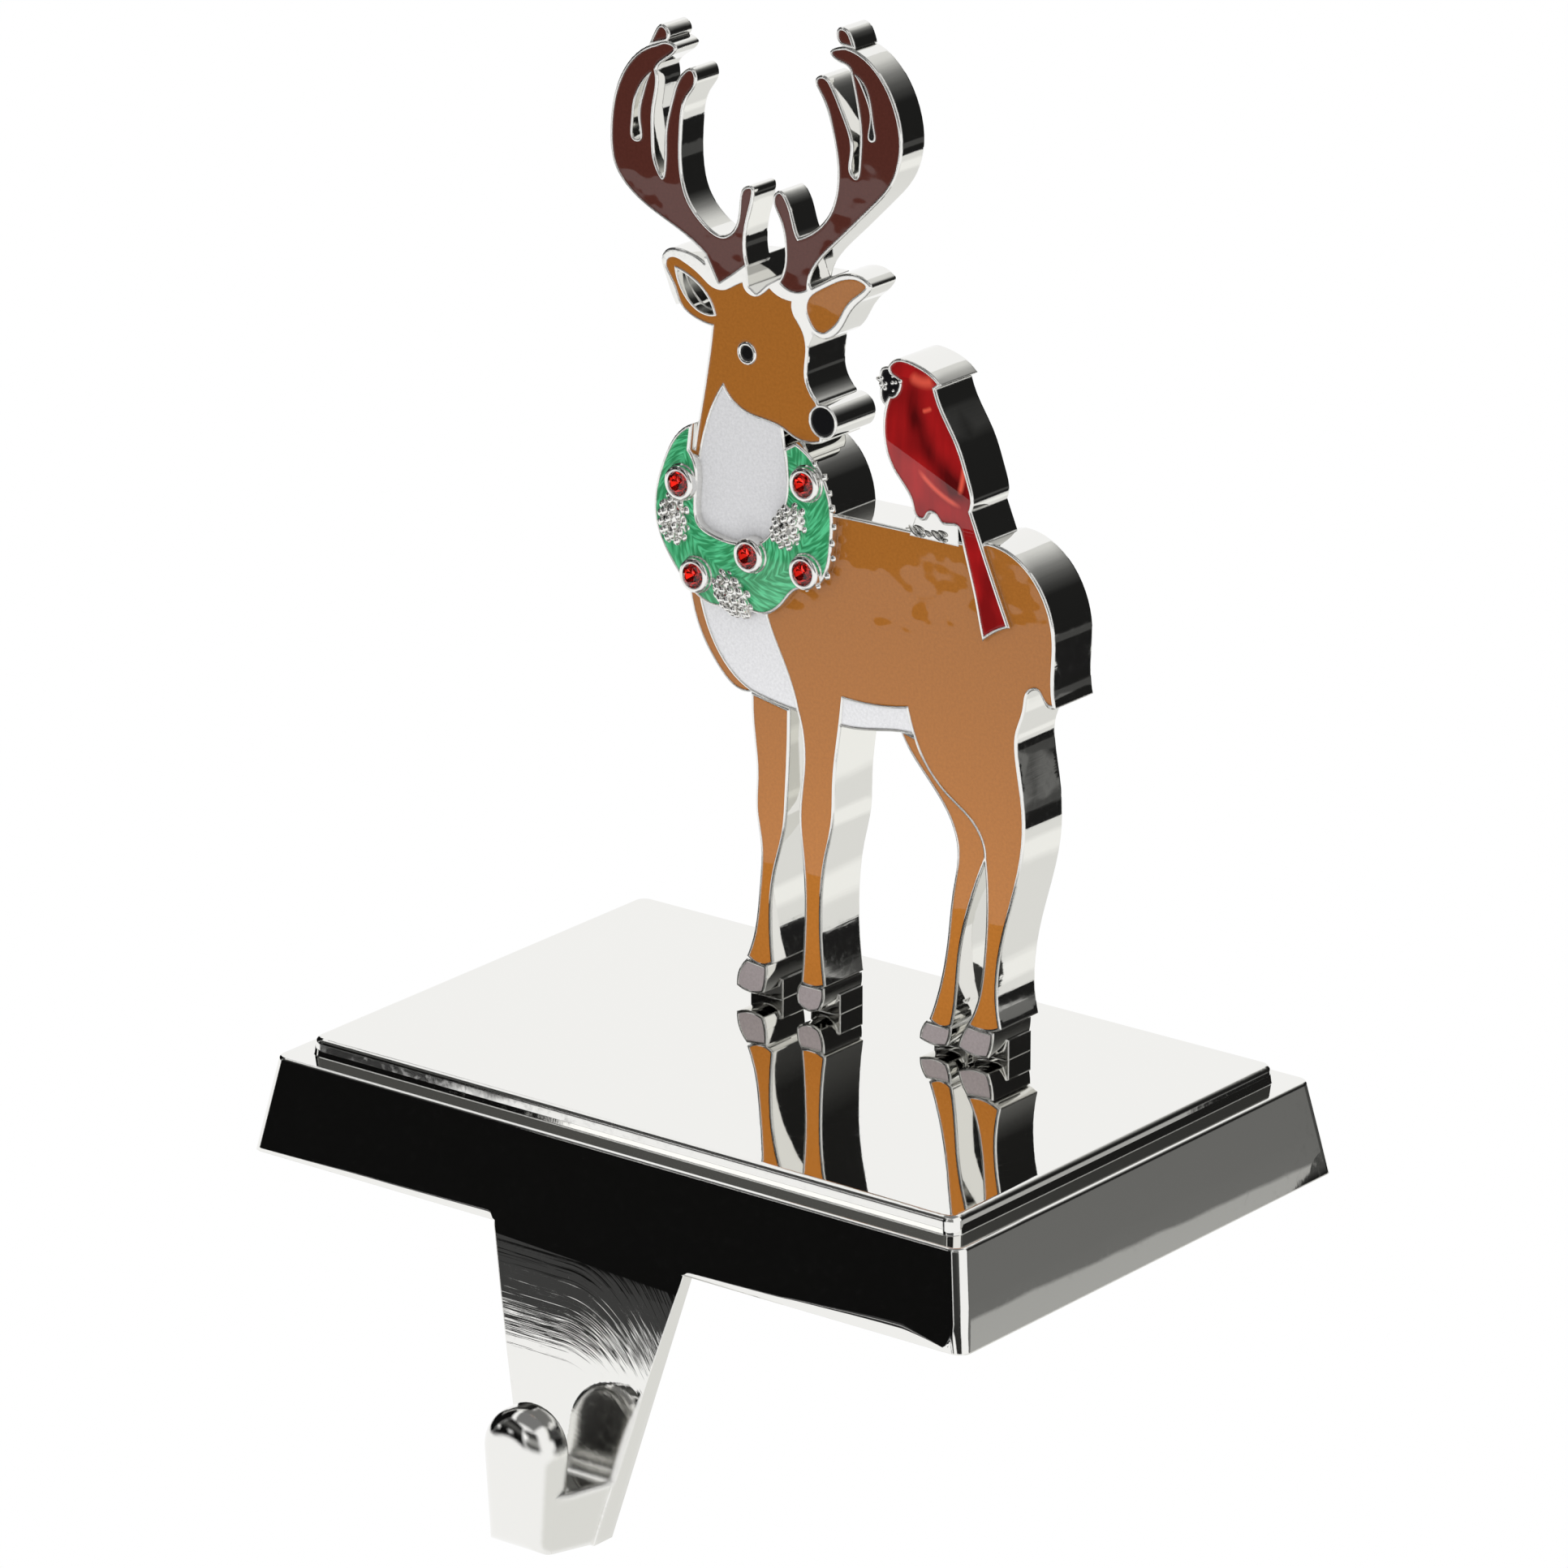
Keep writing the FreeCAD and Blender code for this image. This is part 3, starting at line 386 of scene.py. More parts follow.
def arc_ridge(made, where, middle, radius, low, high, width):
    """A ridge along part of a circle on the figure's face: middle in mm, angles in degrees from the right.

    Its height is a bell curve of the distance from the circle, exp(-(d / width)^2), and it fades out at
    both ends."""
    parts = split(made, where)
    right = minus(made, parts["X"], middle[0] * MM)
    up = minus(made, parts["Z"], BASE_TOP + middle[1] * MM)
    off = math_node(made, "DIVIDE", minus(made, hypotenuse(made, right, up), radius * MM), width * MM)
    bell = math_node(made, "POWER", math.e, times(made, times(made, off, off), -1.0))
    angle = math_node(made, "ARCTAN2", up, right)
    middle_angle, half = math.radians((low + high) / 2), math.radians((high - low) / 2)
    away = math_node(made, "ABSOLUTE", minus(made, angle, middle_angle))
    return times(made, bell, mapped(made, away, 0.6 * half, half, 1.0, 0.0))


# %% [markdown]
# The bird has soft feathers that run down its back, a slow swell for its wing with a dark lane beside it,
# and engraved lines along which an orange highlight is painted into the colour, the same from every side.
# Its coat bulges, so it leans up above the wing's edge and down below it, and there it catches the pale
# floor.

# %% Red enamel of the bird
DEEP_RED, BRIGHT_RED = (0.12, 0.001, 0.002, 1), (0.74, 0.016, 0.018, 1)
# The orange of the highlight that is painted into the colour along the engraved lines.
PAINTED_ORANGE_HIGHLIGHT = (1.0, 0.13, 0.08, 1)
FEATHER_TURN, FEATHER_FINENESS, FEATHER_LENGTH = math.radians(-22), 600.0, 110.0
# The arcs along the engraved lines where the orange highlight is painted: the wing's edge, its tip, the
# crown, the shoulder and the back.
PAINTED_HIGHLIGHT_ARCS = [((21.5, 84.6), 13.8, -136, -102, 0.35), ((24, 77), 5.2, -150, -105, 0.45),
            ((12.4, 89.5), 3.6, -125, -60, 0.8), ((11, 87), 5, -75, -55, 0.3), ((0, 78), 18.8, -17, -4, 0.4)]
DARK_LANE, LANE_DEPTH = ((26, 86), 15.2, -190, -110, 1.5), 0.5
WING_START, WING_FALL = (7.3, 77.6), 0.42
BELLY_FOOT, BELLY_FADE = 67.5, 1.5
BACK_LEAN, BELLY_LEAN = 0.13, -0.05


def feathers(made, where):
    """The relief from 0 to 1: streaks drawn out along the back, plus a slow swell, less the dark lane."""
    turned = node(made, "ShaderNodeMapping", Vector=where, Rotation=(0.0, FEATHER_TURN, 0.0),
                  Scale=(FEATHER_FINENESS, 1.0, FEATHER_LENGTH)).outputs["Vector"]
    soft = times(made, noise(made, turned, scale=1.0, distortion=0.6), 0.25)
    swell = times(made, noise(made, where, scale=170.0, detail=1.0), 0.6)
    both = mapped(made, plus(made, soft, swell), 0.30, 0.56, 0.25, 0.75)
    both = minus(made, both, times(made, arc_ridge(made, where, *DARK_LANE), LANE_DEPTH))
    return mapped(made, both, 0.0, 1.0, 0.0, 1.0)


def painted_highlight_share(made, where):
    """Where the orange highlight is painted along the engraved lines, from 0 to 1."""
    painted_highlight_sum = 0.0
    for line in PAINTED_HIGHLIGHT_ARCS:
        painted_highlight_sum = plus(made, painted_highlight_sum, arc_ridge(made, where, *line))
    return mapped(made, painted_highlight_sum, 0.15, 1.0, 0.0, 1.0)


def bulge(made, where):
    """The coat's lean: up above the wing's edge, a line that falls to the right, and down below it."""
    parts = split(made, where)
    past = times(made, minus(made, parts["X"], WING_START[0] * MM), WING_FALL)
    edge, foot = BASE_TOP + WING_START[1] * MM, BASE_TOP + BELLY_FOOT * MM
    below = mapped(made, plus(made, parts["Z"], past), edge, edge - 0.1 * MM, 0.0, 1.0)
    belly = times(made, below, mapped(made, parts["Z"], foot, foot + BELLY_FADE * MM, 0.0, 1.0))
    return mapped(made, belly, 0.0, 1.0, BACK_LEAN, BELLY_LEAN)


red = finish("red_enamel", Metallic=0.6, Roughness=0.3, Specular_IOR_Level=0.1, Coat_Weight=1.0,
             Coat_Roughness=0.02)
where = place(red)
relief = feathers(red, where)
# Painted highlight: the colour turns orange along the engraved lines, whichever way they face.
red_with_painted_highlight = blend(red, painted_highlight_share(red, where), blend(red, relief, DEEP_RED, BRIGHT_RED), PAINTED_ORANGE_HIGHLIGHT)
clear_enamel(red, where, red_with_painted_highlight, relief, depth=0.08 * MM, lean=bulge(red, where))
dress("bird_enamel", red)
print("red_enamel has", len(PAINTED_HIGHLIGHT_ARCS), "engraved lines and", len(red.node_tree.nodes), "nodes")

# %% [markdown]
# The wreath's enamel lies over short needles that lean out to both sides of its rib, as on a fir branch.
# The rib is a circle, so a needle is found by its place along the rib and its distance from it. Every
# needle is long in one leaning direction of these two, and thin in the other. Ridges in the mesh would show
# only in a close look at the edge, and here the edge is a metal fence.

# %% Green enamel of the wreath
WREATH_MIDDLE, WREATH_RADIUS = (-14.8 * MM, BASE_TOP + 66.0 * MM), 10.2 * MM
DEEP_GREEN, BRIGHT_GREEN = (0.013, 0.3, 0.1, 1), (0.1, 0.68, 0.31, 1)
NEEDLE_LEAN = (0.8, 0.6)
NEEDLE_LENGTH, NEEDLE_FINENESS, NEEDLE_SPREAD = 500.0, 2600.0, 60.0


def needles(made, where):
    """The relief from 0 to 1: noise read along and across the leaning needles.

    The place along the rib is the angle about the wreath's middle times its radius, and the place across it
    is the distance from the middle less that radius."""
    parts = split(made, where)
    right = minus(made, parts["X"], WREATH_MIDDLE[0])
    up = minus(made, parts["Z"], WREATH_MIDDLE[1])
    angle = math_node(made, "ARCTAN2", right, times(made, up, -1.0))
    along = times(made, angle, WREATH_RADIUS)
    across = minus(made, hypotenuse(made, right, up), WREATH_RADIUS)
    side = math_node(made, "ABSOLUTE", across)
    lean_along = plus(made, times(made, along, NEEDLE_LEAN[0]), times(made, side, NEEDLE_LEAN[1]))
    lean_across = minus(made, times(made, side, NEEDLE_LEAN[0]), times(made, along, NEEDLE_LEAN[1]))
    spread = node(made, "ShaderNodeCombineXYZ", in0=times(made, lean_along, NEEDLE_LENGTH),
                  in1=times(made, lean_across, NEEDLE_FINENESS), in2=times(made, across, NEEDLE_SPREAD))
    fine = noise(made, spread.outputs[0], scale=1.0, detail=1.0, roughness=0.4, distortion=0.4)
    return mapped(made, fine, 0.4, 0.68, 0.0, 1.0)


green = finish("green_enamel", Metallic=0.25, Roughness=0.3, Coat_Weight=1.0, Coat_Roughness=0.03)
where = place(green)
relief = needles(green, where)
clear_enamel(green, where, blend(green, relief, DEEP_GREEN, BRIGHT_GREEN), relief, depth=0.06 * MM)
dress("wreath_enamel", green)
print("green_enamel has", len(green.node_tree.nodes), "nodes")

# %% [markdown]
# The pad is foam rubber, matt and open-pored, and the screws are zinc-plated steel. Neither shows from the
# front.

# %% Pad and screws
rubber = finish("foam_rubber", Base_Color=(0.02, 0.02, 0.02, 1), Roughness=0.9)
pores = noise(rubber, place(rubber), scale=1500.0, detail=4.0, roughness=0.7)
link(rubber, bump(rubber, pores, 0.1 * MM), "Normal")
steel = finish("screw_steel", Base_Color=(0.62, 0.62, 0.6, 1), Metallic=1.0)
worn = noise(steel, place(steel), scale=1200.0, detail=3.0)
link(steel, mapped(steel, worn, 0.3, 0.7, 0.2, 0.4), "Roughness")
dress("non_slip_pad", rubber)
dress("figure_screws", steel)
print("the pad and the screws are dressed")

# %% [markdown]
# New pieces are grids of points worked out with numpy, rather than Blender's ready shapes pushed about,
# because a formula says where every point is and leaves the object itself at the origin. A grid that closes
# on itself in one direction joins its last column to its first, and its first and last rows are drawn
# together to a pole.


# %% Helpers for meshes
def grid_faces(rows, columns, closed):
    """Quads of a grid of rows by columns points, joined round if closed."""
    steps = columns if closed else columns - 1
    row, column = np.meshgrid(np.arange(rows - 1), np.arange(steps), indexing="ij")
    nxt = (column + 1) % columns
    here, above = row * columns, (row + 1) * columns
    return np.stack([here + column, here + nxt, above + nxt, above + column], -1).reshape(-1, 4)


def new_piece(name, points, faces, made, smooth=True):
    """Adds a mesh at the origin, gives it its finish, and lets it ride on the holder."""
    mesh = bpy.data.meshes.new(name)
    mesh.from_pydata(np.asarray(points).tolist(), [], [list(f) for f in faces])
    mesh.polygons.foreach_set("use_smooth", [smooth] * len(mesh.polygons))
    mesh.materials.append(made)
    mesh.validate()
    mesh.update()
    piece = bpy.data.objects.new(name, mesh)
    bpy.context.scene.collection.objects.link(piece)
    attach(piece, "root")
    return piece


def outward(piece):
    """Merges doubled points and turns all faces outwards."""
    work = bmesh.new()
    work.from_mesh(piece.data)
    bmesh.ops.remove_doubles(work, verts=work.verts, dist=0.0001 * MM)
    bmesh.ops.recalc_face_normals(work, faces=work.faces)
    work.to_mesh(piece.data)
    work.free()


# %% [markdown]
# A small ball is the seed for the cones' scales, the beads and the claws, which are all drops of metal
# drawn out one way or another. It needs few points, because there are hundreds of them.


# %% A small ball
def blob(rows=8, columns=12):
    """A unit ball as a grid: the angle from one pole by the angle round it."""
    turns = np.linspace(0, 2 * np.pi, columns, endpoint=False)
    down, round_ = np.meshgrid(np.linspace(0, np.pi, rows), turns, indexing="ij")
    points = np.stack([np.sin(down) * np.cos(round_), np.sin(down) * np.sin(round_), np.cos(down)], -1)
    return points.reshape(-1, 3), grid_faces(rows, columns, True)


# %% [markdown]
# Each pinecone is a heap of plump scales that wind round it, each turned by the golden angle from the last,
# as they grow on a real cone. Set by hand they would look like rows. One formula gives each scale its
# place, its way out and its tip, and every scale is the small ball, turned and moved.

# %% Pinecones
GOLDEN = math.pi * (3 - math.sqrt(5))
CONES = [(-25.6, 61.4, 90), (-7.7, 63.8, 55), (-16.5, 53.4, -40)]
CONE_LENGTH, CONE_WIDTH, CONE_FULLNESS, CONE_SINK = 6.6, 4.6, 0.9, 0.9
SCALES, SCALE_TILT = 62, 0.5
SCALE_LONG, SCALE_WIDE, SCALE_THICK = 0.58, 0.46, 0.4


def pinecone(x, height, turn, seed):
    """Points and faces of one cone's scales.

    Scale k sits at the share (k + 0.5) / n of the length, at k times the golden angle, on an egg whose
    radius is half the width times a power of the root of one less the square of the place along it. Each
    scale looks outwards and a little to the cone's end. Those inside the metal are left out."""
    rng = np.random.default_rng(seed)
    k = np.arange(SCALES)
    along = 2 * (k + 0.5) / SCALES - 1
    radius = np.sqrt(1 - along ** 2) ** CONE_FULLNESS * CONE_WIDTH / 2
    angle = k * GOLDEN
    centre = np.stack([along * CONE_LENGTH / 2, -radius * np.cos(angle), radius * np.sin(angle)], -1)
    seen = centre[:, 1] < CONE_SINK * 0.4
    centre, angle, along = centre[seen], angle[seen], along[seen]
    out = np.stack([along * SCALE_TILT, -np.cos(angle), np.sin(angle)], -1)
    out /= np.linalg.norm(out, axis=1, keepdims=True)
    tip = np.tile([1.0, 0.0, 0.0], (len(out), 1))
    tip -= (tip * out).sum(1, keepdims=True) * out
    tip /= np.linalg.norm(tip, axis=1, keepdims=True)
    across = np.cross(out, tip)
    unit, faces = blob()
    size = rng.uniform(0.85, 1.15, (len(out), 1, 1))
    local = unit[None, :, 0:1] * SCALE_LONG * tip[:, None]
    local = local + unit[None, :, 1:2] * SCALE_WIDE * across[:, None]
    local = local + unit[None, :, 2:3] * SCALE_THICK * out[:, None]
    points = centre[:, None] + local * size
    angle = math.radians(turn)
    turned = points.copy()
    turned[..., 0] = points[..., 0] * math.cos(angle) - points[..., 2] * math.sin(angle)
    turned[..., 2] = points[..., 0] * math.sin(angle) + points[..., 2] * math.cos(angle)
    turned = (turned + np.array([x, CONE_SINK, height])) * MM + np.array([0, WREATH_FRONT, BASE_TOP])
    shift = np.arange(len(out))[:, None, None] * len(unit)
    return turned.reshape(-1, 3), (faces[None] + shift).reshape(-1, 4)


cone_plating = finish("cone_plating", Base_Color=NICKEL, Metallic=1.0, Roughness=0.06)
for number, (x, height, turn) in enumerate(CONES, 1):
    points, faces = pinecone(x, height, turn, number)
    cone = new_piece(f"pinecone_scales_{number}", points, faces, cone_plating)
    outward(cone)
    print("pinecone", number, "has", len(faces), "faces")

# %% [markdown]
# The stones are cut crystal with foil behind, so they are brightest where a facet meets the foil. A round
# brilliant has a flat table, a ring of star facets, a ring of kite facets and a thin girdle. Flat shading
# keeps the facets, clear red crystal bends the light, and a pale metal on the back facets gives it back.
# The part's plain round stones would show none of this, so these replace them.

# %% Stones
STONE_SIDES, STONE_TURN = 8, 0.2
# From the table's middle to the point behind: share of the radius, share of the depth, turn in steps.
STONE_RINGS = [(0.0, 0.0, 0.0), (0.5, 0.0, 0.0), (0.82, 0.22, 0.5), (1.0, 0.4, 0.0), (1.0, 0.48, 0.0),
               (0.72, 0.72, 0.5), (0.0, 1.0, 0.0)]
FIRST_BACK_RING = 4


def brilliant(centre, radius, front, back):
    """A round cut stone that looks towards -Y: rings of points at falling depths, down to a point behind.

    Each ring is a circle of its share of the radius. Two triangles join every side of a ring to the next."""
    points = []
    for share, drop, turn in STONE_RINGS:
        angle = (np.arange(STONE_SIDES) + turn) * 2 * np.pi / STONE_SIDES + STONE_TURN
        depth = np.full(STONE_SIDES, front + (back - front) * drop)
        points.append(np.stack([centre[0] + radius * share * np.cos(angle), depth,
                                centre[1] + radius * share * np.sin(angle)], -1))
    quads = grid_faces(len(STONE_RINGS), STONE_SIDES, True)
    faces = np.concatenate([quads[:, [0, 1, 2]], quads[:, [0, 2, 3]]])
    behind = np.repeat(np.arange(len(STONE_RINGS) - 1) >= FIRST_BACK_RING, STONE_SIDES)
    return np.concatenate(points), faces, np.tile(behind, 2)


crystal = finish("stone_crystal", Base_Color=(0.78, 0.03, 0.02, 1), Roughness=0.0, IOR=1.6,
                 Transmission_Weight=1.0)
foil = finish("stone_foil", Base_Color=(0.9, 0.5, 0.4, 1), Metallic=1.0, Roughness=0.04)
for number in range(1, 6):
    low, high = (np.array(corner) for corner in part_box(f"wreath_stone_{number}"))
    middle = (low + high) / 2
    points, faces, behind = brilliant(middle[[0, 2]], (high[0] - low[0]) / 2, low[1], high[1])
    stone = new_piece(f"stone_{number}", points, faces, crystal, smooth=False)
    stone.data.materials.append(foil)
    stone.data.polygons.foreach_set("material_index", behind.astype(int))
    outward(stone)
    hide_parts(f"wreath_stone_{number}")
    print("stone", number, "is", round(float(high[0] - low[0]) / MM, 2), "mm across")

# %% [markdown]
# A silver ring stands a little proud round the eye's enamel. It is a circle carried round a circle, which
# the same kind of grid gives when it is closed both ways.

# %% Eye ring
EYE_MIDDLE, EYE_RADIUS, EYE_TUBE = (-14.9, 84.4), 1.22, 0.24


def ring(middle, radius, tube, front, rows=12, columns=48):
    """A torus that faces the front: a circle of the tube's radius carried round the ring's radius, in mm."""
    across, round_ = np.meshgrid(np.linspace(0, 2 * np.pi, rows, endpoint=False),
                                 np.linspace(0, 2 * np.pi, columns, endpoint=False), indexing="ij")
    reach = radius + tube * np.cos(across)
    points = np.stack([middle[0] + reach * np.cos(round_), front / MM + tube * np.sin(across),
                       middle[1] + reach * np.sin(round_) + BASE_TOP / MM], -1).reshape(-1, 3)
    return points * MM, grid_faces(rows + 1, columns, True) % (rows * columns)


points, faces = ring(EYE_MIDDLE, EYE_RADIUS, EYE_TUBE, ENAMEL_FRONT)
eye_ring = new_piece("eye_ring", points, faces, cone_plating)
outward(eye_ring)
print("eye_ring has", len(faces), "faces")

# %% [markdown]
# Round the bird's face and down the wreath's right edge the casting has small beads and lumps, as drops of
# metal. A lump is the small ball again, drawn out from a start to an end, so one function makes beads and
# claws alike.

# %% Beads on the face and lumps on the wreath
BEAD_STRETCH = 0.1
# Each bead's x, height and half width in mm.
FACE_BEADS = [(6.9, 84.7, 0.26), (7.9, 85.8, 0.2), (7.9, 85.0, 0.28), (8.4, 85.1, 0.24), (9.1, 85.4, 0.3),
              (8.0, 84.0, 0.2), (6.3, 85.3, 0.28), (6.2, 84.5, 0.34), (6.8, 84.1, 0.3)]
WREATH_LUMPS = [(-1.6, 58.7, 0.5), (-0.7, 61.1, 0.42), (-0.9, 63.0, 0.5), (-0.6, 65.1, 0.4),
                (-0.9, 67.4, 0.5), (-1.3, 69.3, 0.38), (-2.1, 71.2, 0.45), (-3.0, 57.1, 0.4),
                (-4.8, 56.3, 0.3), (-3.6, 72.6, 0.4)]


def drawn_out(name, starts, ends, radii, made=cone_plating):
    """Silver lumps in one mesh, each a ball that is drawn out from its start to its end, in mm.

    A point is the middle plus the ball's height times the half length and radius along the lump, and its two
    other parts times the radius across it."""
    starts, ends, radii = np.array(starts, float), np.array(ends, float), np.array(radii, float)[:, None]
    way = ends - starts
    length = np.linalg.norm(way, axis=1, keepdims=True)
    way /= length
    side = np.cross(way, np.where(np.abs(way[:, :1]) < 0.9, [[1.0, 0, 0]], [[0, 0, 1.0]]))
    side /= np.linalg.norm(side, axis=1, keepdims=True)
    third = np.cross(way, side)
    unit, faces = blob()
    points = ((starts + ends)[:, None] / 2 + unit[None, :, 2:3] * ((length / 2 + radii) * way)[:, None]
              + unit[None, :, 0:1] * (radii * side)[:, None] + unit[None, :, 1:2] * (radii * third)[:, None])
    points = points.reshape(-1, 3) * MM + np.array([0, 0, BASE_TOP])
    shift = np.arange(len(starts))[:, None, None] * len(unit)
    lumps = new_piece(name, points, (faces[None] + shift).reshape(-1, 4), made)
    outward(lumps)
    print(name, "has", len(starts), "lumps")


def beads(name, places, front):
    """Small silver lumps at places of (x, height, half width) in mm, half sunk in the surface at front."""
    starts = [(x, front / MM, height - BEAD_STRETCH * size) for x, height, size in places]
    ends = [(x, front / MM, height + BEAD_STRETCH * size) for x, height, size in places]
    drawn_out(name, starts, ends, [size for x, height, size in places])


beads("bird_face_beads", FACE_BEADS, BIRD_FRONT)
beads("wreath_edge_lumps", WREATH_LUMPS, WREATH_FRONT)

# %% [markdown]
# The bird holds on to the reindeer's back with two feet. Their toes are short lumps on the front face, and
# others run back over the top of the casting. They stay duller than the rest, as no wheel gets between
# them.

# %% Claws
# Each front toe's start and end, as x and height, and its half width, all in mm.
FRONT_TOES = [((10.3, 67.1), (11.6, 66.4), 0.4), ((11.1, 67.3), (12.0, 66.9), 0.35),
              ((12.1, 66.4), (12.2, 66.3), 0.28), ((12.6, 67.0), (13.3, 66.6), 0.26),
              ((13.7, 67.1), (15.0, 66.5), 0.4), ((14.7, 67.3), (15.5, 67.0), 0.35),
              ((15.4, 66.4), (15.6, 66.3), 0.26)]
# Each back toe's x, height and half width.
BACK_TOES = [(9.4, 66.7, 0.2), (9.95, 66.6, 0.24), (13.0, 66.8, 0.2), (13.5, 66.7, 0.24)]
TOE_RISE, TOE_SINK, TOE_STOP = 0.3, 0.2, 1.0
TOE_FRONT, TOE_BACK = ENAMEL_FRONT / MM, float(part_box("deer_casting")[1][1]) / MM - TOE_STOP

starts = [(x, TOE_FRONT, height) for (x, height), end, size in FRONT_TOES]
ends = [(x, TOE_FRONT - TOE_RISE, height) for start, (x, height), size in FRONT_TOES]
starts += [(x, TOE_FRONT + TOE_SINK, height) for x, height, size in BACK_TOES]
ends += [(x, TOE_BACK, height) for x, height, size in BACK_TOES]
claw_plating = finish("claw_plating", Base_Color=NICKEL, Metallic=1.0, Roughness=0.22)
claw_normal = node(claw_plating, "ShaderNodeNewGeometry").outputs["Normal"]
link(claw_plating, leaning(claw_plating, claw_normal, 0.9), "Normal")
drawn_out("bird_claws", starts, ends, [toe[2] for toe in FRONT_TOES + BACK_TOES], claw_plating)

# %% [markdown]
# Plated metal shows its surroundings, so the studio is made of boards of even light that only reflections
# and glass show, and that let the soft light through. Bearings are in degrees to the right of straight
# back. Seen from the camera, what faces the front mirrors what is at -142, the right-hand walls mirror what
# is at 38, and the tops mirror the white behind on the left. A photograph of a room could light the scene
# instead, but nobody could then choose what each wall mirrors.


# %% Boards
def board(name, centre, side, up, width, height, colour, strength=1.0):
    """A flat board of even light, from black to white, which only reflections and glass show."""
    across = Vector(side).normalized() * width / 2
    rise = Vector(up).normalized() * height / 2
    middle = Vector(centre)
    left, right = middle - across, middle + across
    corners = [left - rise, right - rise, right + rise, left + rise]
    mesh = bpy.data.meshes.new(name)
    mesh.from_pydata([tuple(c) for c in corners], [], [(0, 1, 2, 3)])
    mesh.materials.append(finish(name, Base_Color=(0, 0, 0, 1), Roughness=1.0, Specular_IOR_Level=0.0,
                                 Emission_Color=(colour, colour, colour, 1), Emission_Strength=strength))
    piece = bpy.data.objects.new(name, mesh)
    bpy.context.scene.collection.objects.link(piece)
    piece.visible_camera = piece.visible_diffuse = piece.visible_shadow = False
    print("board", name, "is", round(width, 2), "by", round(height, 2), "m")
    return piece


def bearing(degrees, distance, height):
    """A point at a bearing to the right of straight back, at a distance and height from the object."""
    angle = math.radians(degrees)
    return Vector((distance * math.sin(angle), distance * math.cos(angle), height))


def upright(name, degrees, distance, low, high, width, colour, strength=1.0):
    """An upright board that faces the object."""
    spot = bearing(degrees, distance, (low + high) / 2)
    return board(name, spot, bearing(degrees + 90, 1, 0), (0, 0, 1), width, high - low, colour, strength)


def strip(name, degrees, near, far, width, colour):
    """A strip that lies on the floor from near to far at a bearing."""
    spot = bearing(degrees, (near + far) / 2, FLOOR + 0.002)
    return board(name, spot, bearing(degrees + 90, 1, 0), bearing(degrees, 1, 0), width, far - near, colour)


def graded(piece, direction, stops):
    """Gives a board a tone that changes along a direction: stops are (distance in metres, tone)."""
    made = piece.data.materials[0]
    along = node(made, "ShaderNodeVectorMath", {"operation": "DOT_PRODUCT"}, in0=place(made), in1=direction)
    first, last = stops[0][0], stops[-1][0]
    share = mapped(made, along.outputs["Value"], first, last, 0.0, 1.0)
    tones = [((spot - first) / (last - first), (tone, tone, tone * 0.97, 1)) for spot, tone in stops]
    link(made, ramp(made, share, tones), "Emission Color")


# %% [markdown]
# The floor is very pale and lies well below the hook. The ceiling is a mid grey, and the boards in front
# and on the left are black, with a few soft panels for the lights in the finger's dome. The front wall
# mirrors the black board, its rolled rim the board's foot and the dark strips on the floor, and a white
# card close by keeps the finger and the lower part of the plate pale.

# %% Floor, ceiling and what the front mirrors
FLOOR, BLACK, UP = -0.25, 0.005, (0, 0, 1)
FRONT = -142
floor = board("floor", (0, 0, FLOOR), (1, 0, 0), (0, 1, 0), 14, 14, 1.0)
floor.visible_camera = floor.visible_diffuse = floor.visible_shadow = True
board("ceiling", (0, 0, 2.6), (1, 0, 0), (0, 1, 0), 3.0, 3.0, 0.2)
front_board = upright("front_board", FRONT - 2, 1.9, -0.17, 2.5, 2.4, BLACK)
graded(front_board, UP, [(-0.17, BLACK), (0.6, BLACK), (1.3, 0.12), (1.6, 0.02), (2.5, BLACK)])
upright("front_board_foot", FRONT - 2, 1.9, -0.232, -0.17, 2.4, 0.05)
upright("left_board", -84, 1.9, -0.17, 2.2, 1.9, BLACK)
strip("front_strip_near", FRONT, 0.99, 1.24, 0.8, 0.02)
strip("front_strip_far", FRONT, 1.34, 1.95, 1.2, 0.032)
upright("low_card", FRONT, 0.3, -0.2, -0.047, 0.3, 1.0)
camera_board = upright("camera_board", 152, 2.2, 0.0, 2.4, 2.2, BLACK)
graded(camera_board, UP, [(0.0, 0.02), (0.3, 0.04), (0.62, 0.3), (0.9, 0.4), (1.3, 0.12), (1.6, 0.02),
                          (2.4, BLACK)])
upright("camera_panel", 175, 2.0, 0.65, 1.25, 0.5, 1.0, 1.2)
for number, degrees in enumerate((-148, -116), 1):
    upright(f"panel_{number}", degrees, 1.8, 0.3, 0.48, 0.3, 1.0, 1.3)

# %% [markdown]
# The right-hand walls of the legs mirror pale floor low down and a black board above, with a thin dark
# strip where they meet. The board grows pale again at the top, for the antlers. The base's own right wall
# leans back, so it looks higher and further to the right: a separate grey board there gives it its two
# tones.

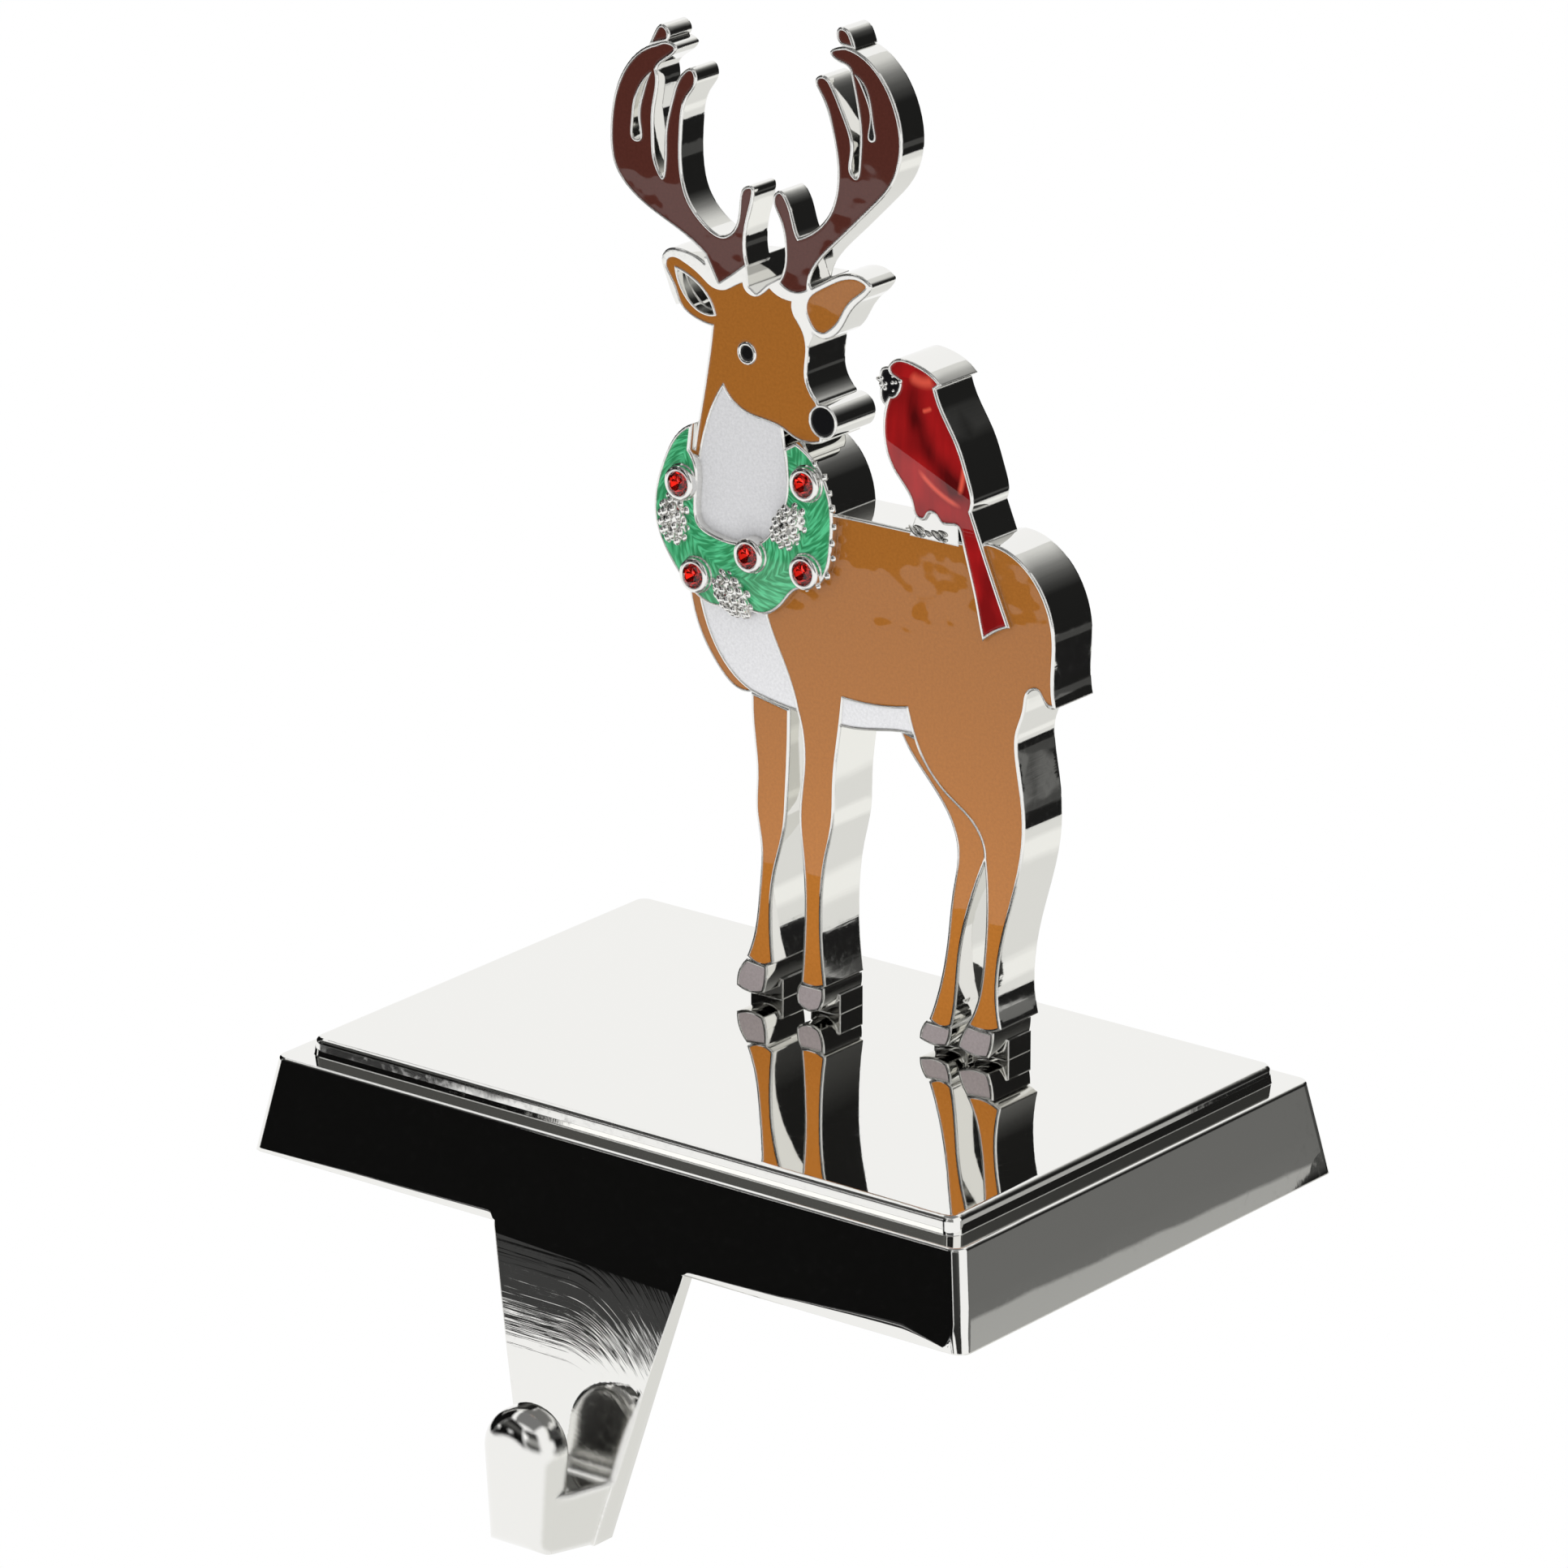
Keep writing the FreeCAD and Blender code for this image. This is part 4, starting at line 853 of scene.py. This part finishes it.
# %% What the right-hand walls mirror
RIGHT, EDGE = 38, 0.86
right_way = bearing(RIGHT - 3, 1, 0)
right_floor = strip("right_floor", RIGHT - 3, 0.1, EDGE, 0.9, 0.79)
graded(right_floor, right_way, [(0.1, 0.79), (0.5, 0.79), (0.55, 0.96), (0.66, 0.96), (0.72, 0.8),
                                (EDGE, 0.79)])
strip("right_strip", RIGHT, EDGE, 1.04, 0.5, 0.012)
right_board = upright("right_board", 26, 1.0, FLOOR, 1.3, 1.3, BLACK)
graded(right_board, UP, [(FLOOR, 0.012), (-0.2, 0.012), (-0.19, 0.06), (-0.11, 0.06), (-0.1, 0.012),
                         (0.42, 0.014), (0.55, 0.05), (0.66, 0.1), (0.8, 0.22), (0.9, 0.42), (1.02, 0.72),
                         (1.3, 0.95)])
side_middle = bearing(RIGHT, 0.97, 0) + bearing(RIGHT + 90, 0.335, -0.165)
side_board = board("side_board", side_middle, bearing(RIGHT + 90, 1, 0), UP, 0.6, 0.17, BLACK)
graded(side_board, UP, [(FLOOR, 0.42), (-0.165, 0.40), (-0.159, 0.16), (-0.08, 0.145)])

# %% [markdown]
# The surround is white. Mirrors, glass and the camera see it and the floor at full strength, so that both
# stay white, and the enamel gets a little less light from them, which keeps its colours deep.

# %% White surround
SOFT = 0.86


def full_to_mirrors(made):
    """A strength of 1 for the camera, mirrors and glass, and a little less for the light on the enamel."""
    rays = node(made, "ShaderNodeLightPath").outputs
    seen = math_node(made, "MAXIMUM", rays["Is Camera Ray"], rays["Is Glossy Ray"])
    seen = math_node(made, "MAXIMUM", seen, rays["Is Transmission Ray"])
    return mapped(made, seen, 0.0, 1.0, SOFT, 1.0)


world = bpy.data.worlds.new("surround")
world.use_nodes = True
surround = world.node_tree.nodes["Background"].inputs
surround["Color"].default_value = (1, 1, 1, 1)
world.node_tree.links.new(full_to_mirrors(world), surround["Strength"])
bpy.context.scene.world = world
floor_finish = floor.data.materials[0]
link(floor_finish, full_to_mirrors(floor_finish), "Emission Strength")
print("light on the enamel:", SOFT, "of what mirrors see")

# %% [markdown]
# The base's top is a mirror that sends light up to the legs, and a path tracer hardly finds such light. Two
# small lamps in front of the legs stand in for it. Mirrors and the camera don't show them.

# %% Light from the base on the legs
FOOT = BASE_TOP + 10.0 * MM


def softbox(name, spot, aim, width, height, power):
    """An area light of power watts at a spot, aimed at a point, which mirrors and the camera don't show."""
    data = bpy.data.lights.new(name, "AREA")
    data.shape = "RECTANGLE"
    data.size, data.size_y = width, height
    data.energy = power
    lamp = bpy.data.objects.new(name, data)
    lamp.location = spot
    lamp.rotation_euler = (Vector(aim) - Vector(spot)).to_track_quat("-Z", "Y").to_euler()
    lamp.visible_glossy = lamp.visible_camera = False
    bpy.context.scene.collection.objects.link(lamp)


near_legs = (0.006, ENAMEL_FRONT, FOOT)
softbox("leg_light_near", (0.006, ENAMEL_FRONT - 0.035, FOOT), near_legs, 0.07, 0.01, 0.011)
softbox("leg_light_far", (0.02, -0.12, FOOT), (0.0, 0.01, FOOT), 0.1, 0.1, 0.02)
print("lamps:", len(bpy.data.lights))

# %% [markdown]
# The camera stands in front on the right, a little above, with a long lens, so that upright edges stay
# parallel. Its place and angles were worked out from the base's edges in the photograph.

# %% Camera
AZIMUTH, ELEVATION = math.radians(37.91), math.radians(19.09)
PICTURE, FOCAL = 1932, 12000
SENSOR = 36.0
CAMERA_SPOT = (0.69003, -0.88752, 0.43888)
back = Vector((math.sin(AZIMUTH) * math.cos(ELEVATION), -math.cos(AZIMUTH) * math.cos(ELEVATION),
               math.sin(ELEVATION)))
camera_data = bpy.data.cameras.new("camera")
camera_data.sensor_width = SENSOR
camera_data.lens = SENSOR * FOCAL / PICTURE
camera_data.clip_end = 50
camera = bpy.data.objects.new("camera", camera_data)
camera.location = CAMERA_SPOT
camera.rotation_euler = back.to_track_quat("Z", "Y").to_euler()
bpy.context.scene.collection.objects.link(camera)
bpy.context.scene.camera = camera
bpy.context.scene.view_settings.view_transform = "Standard"
bpy.context.scene.view_settings.look = "None"
print("lens", round(camera_data.lens), "mm, at", round(Vector(CAMERA_SPOT).length, 2), "m")
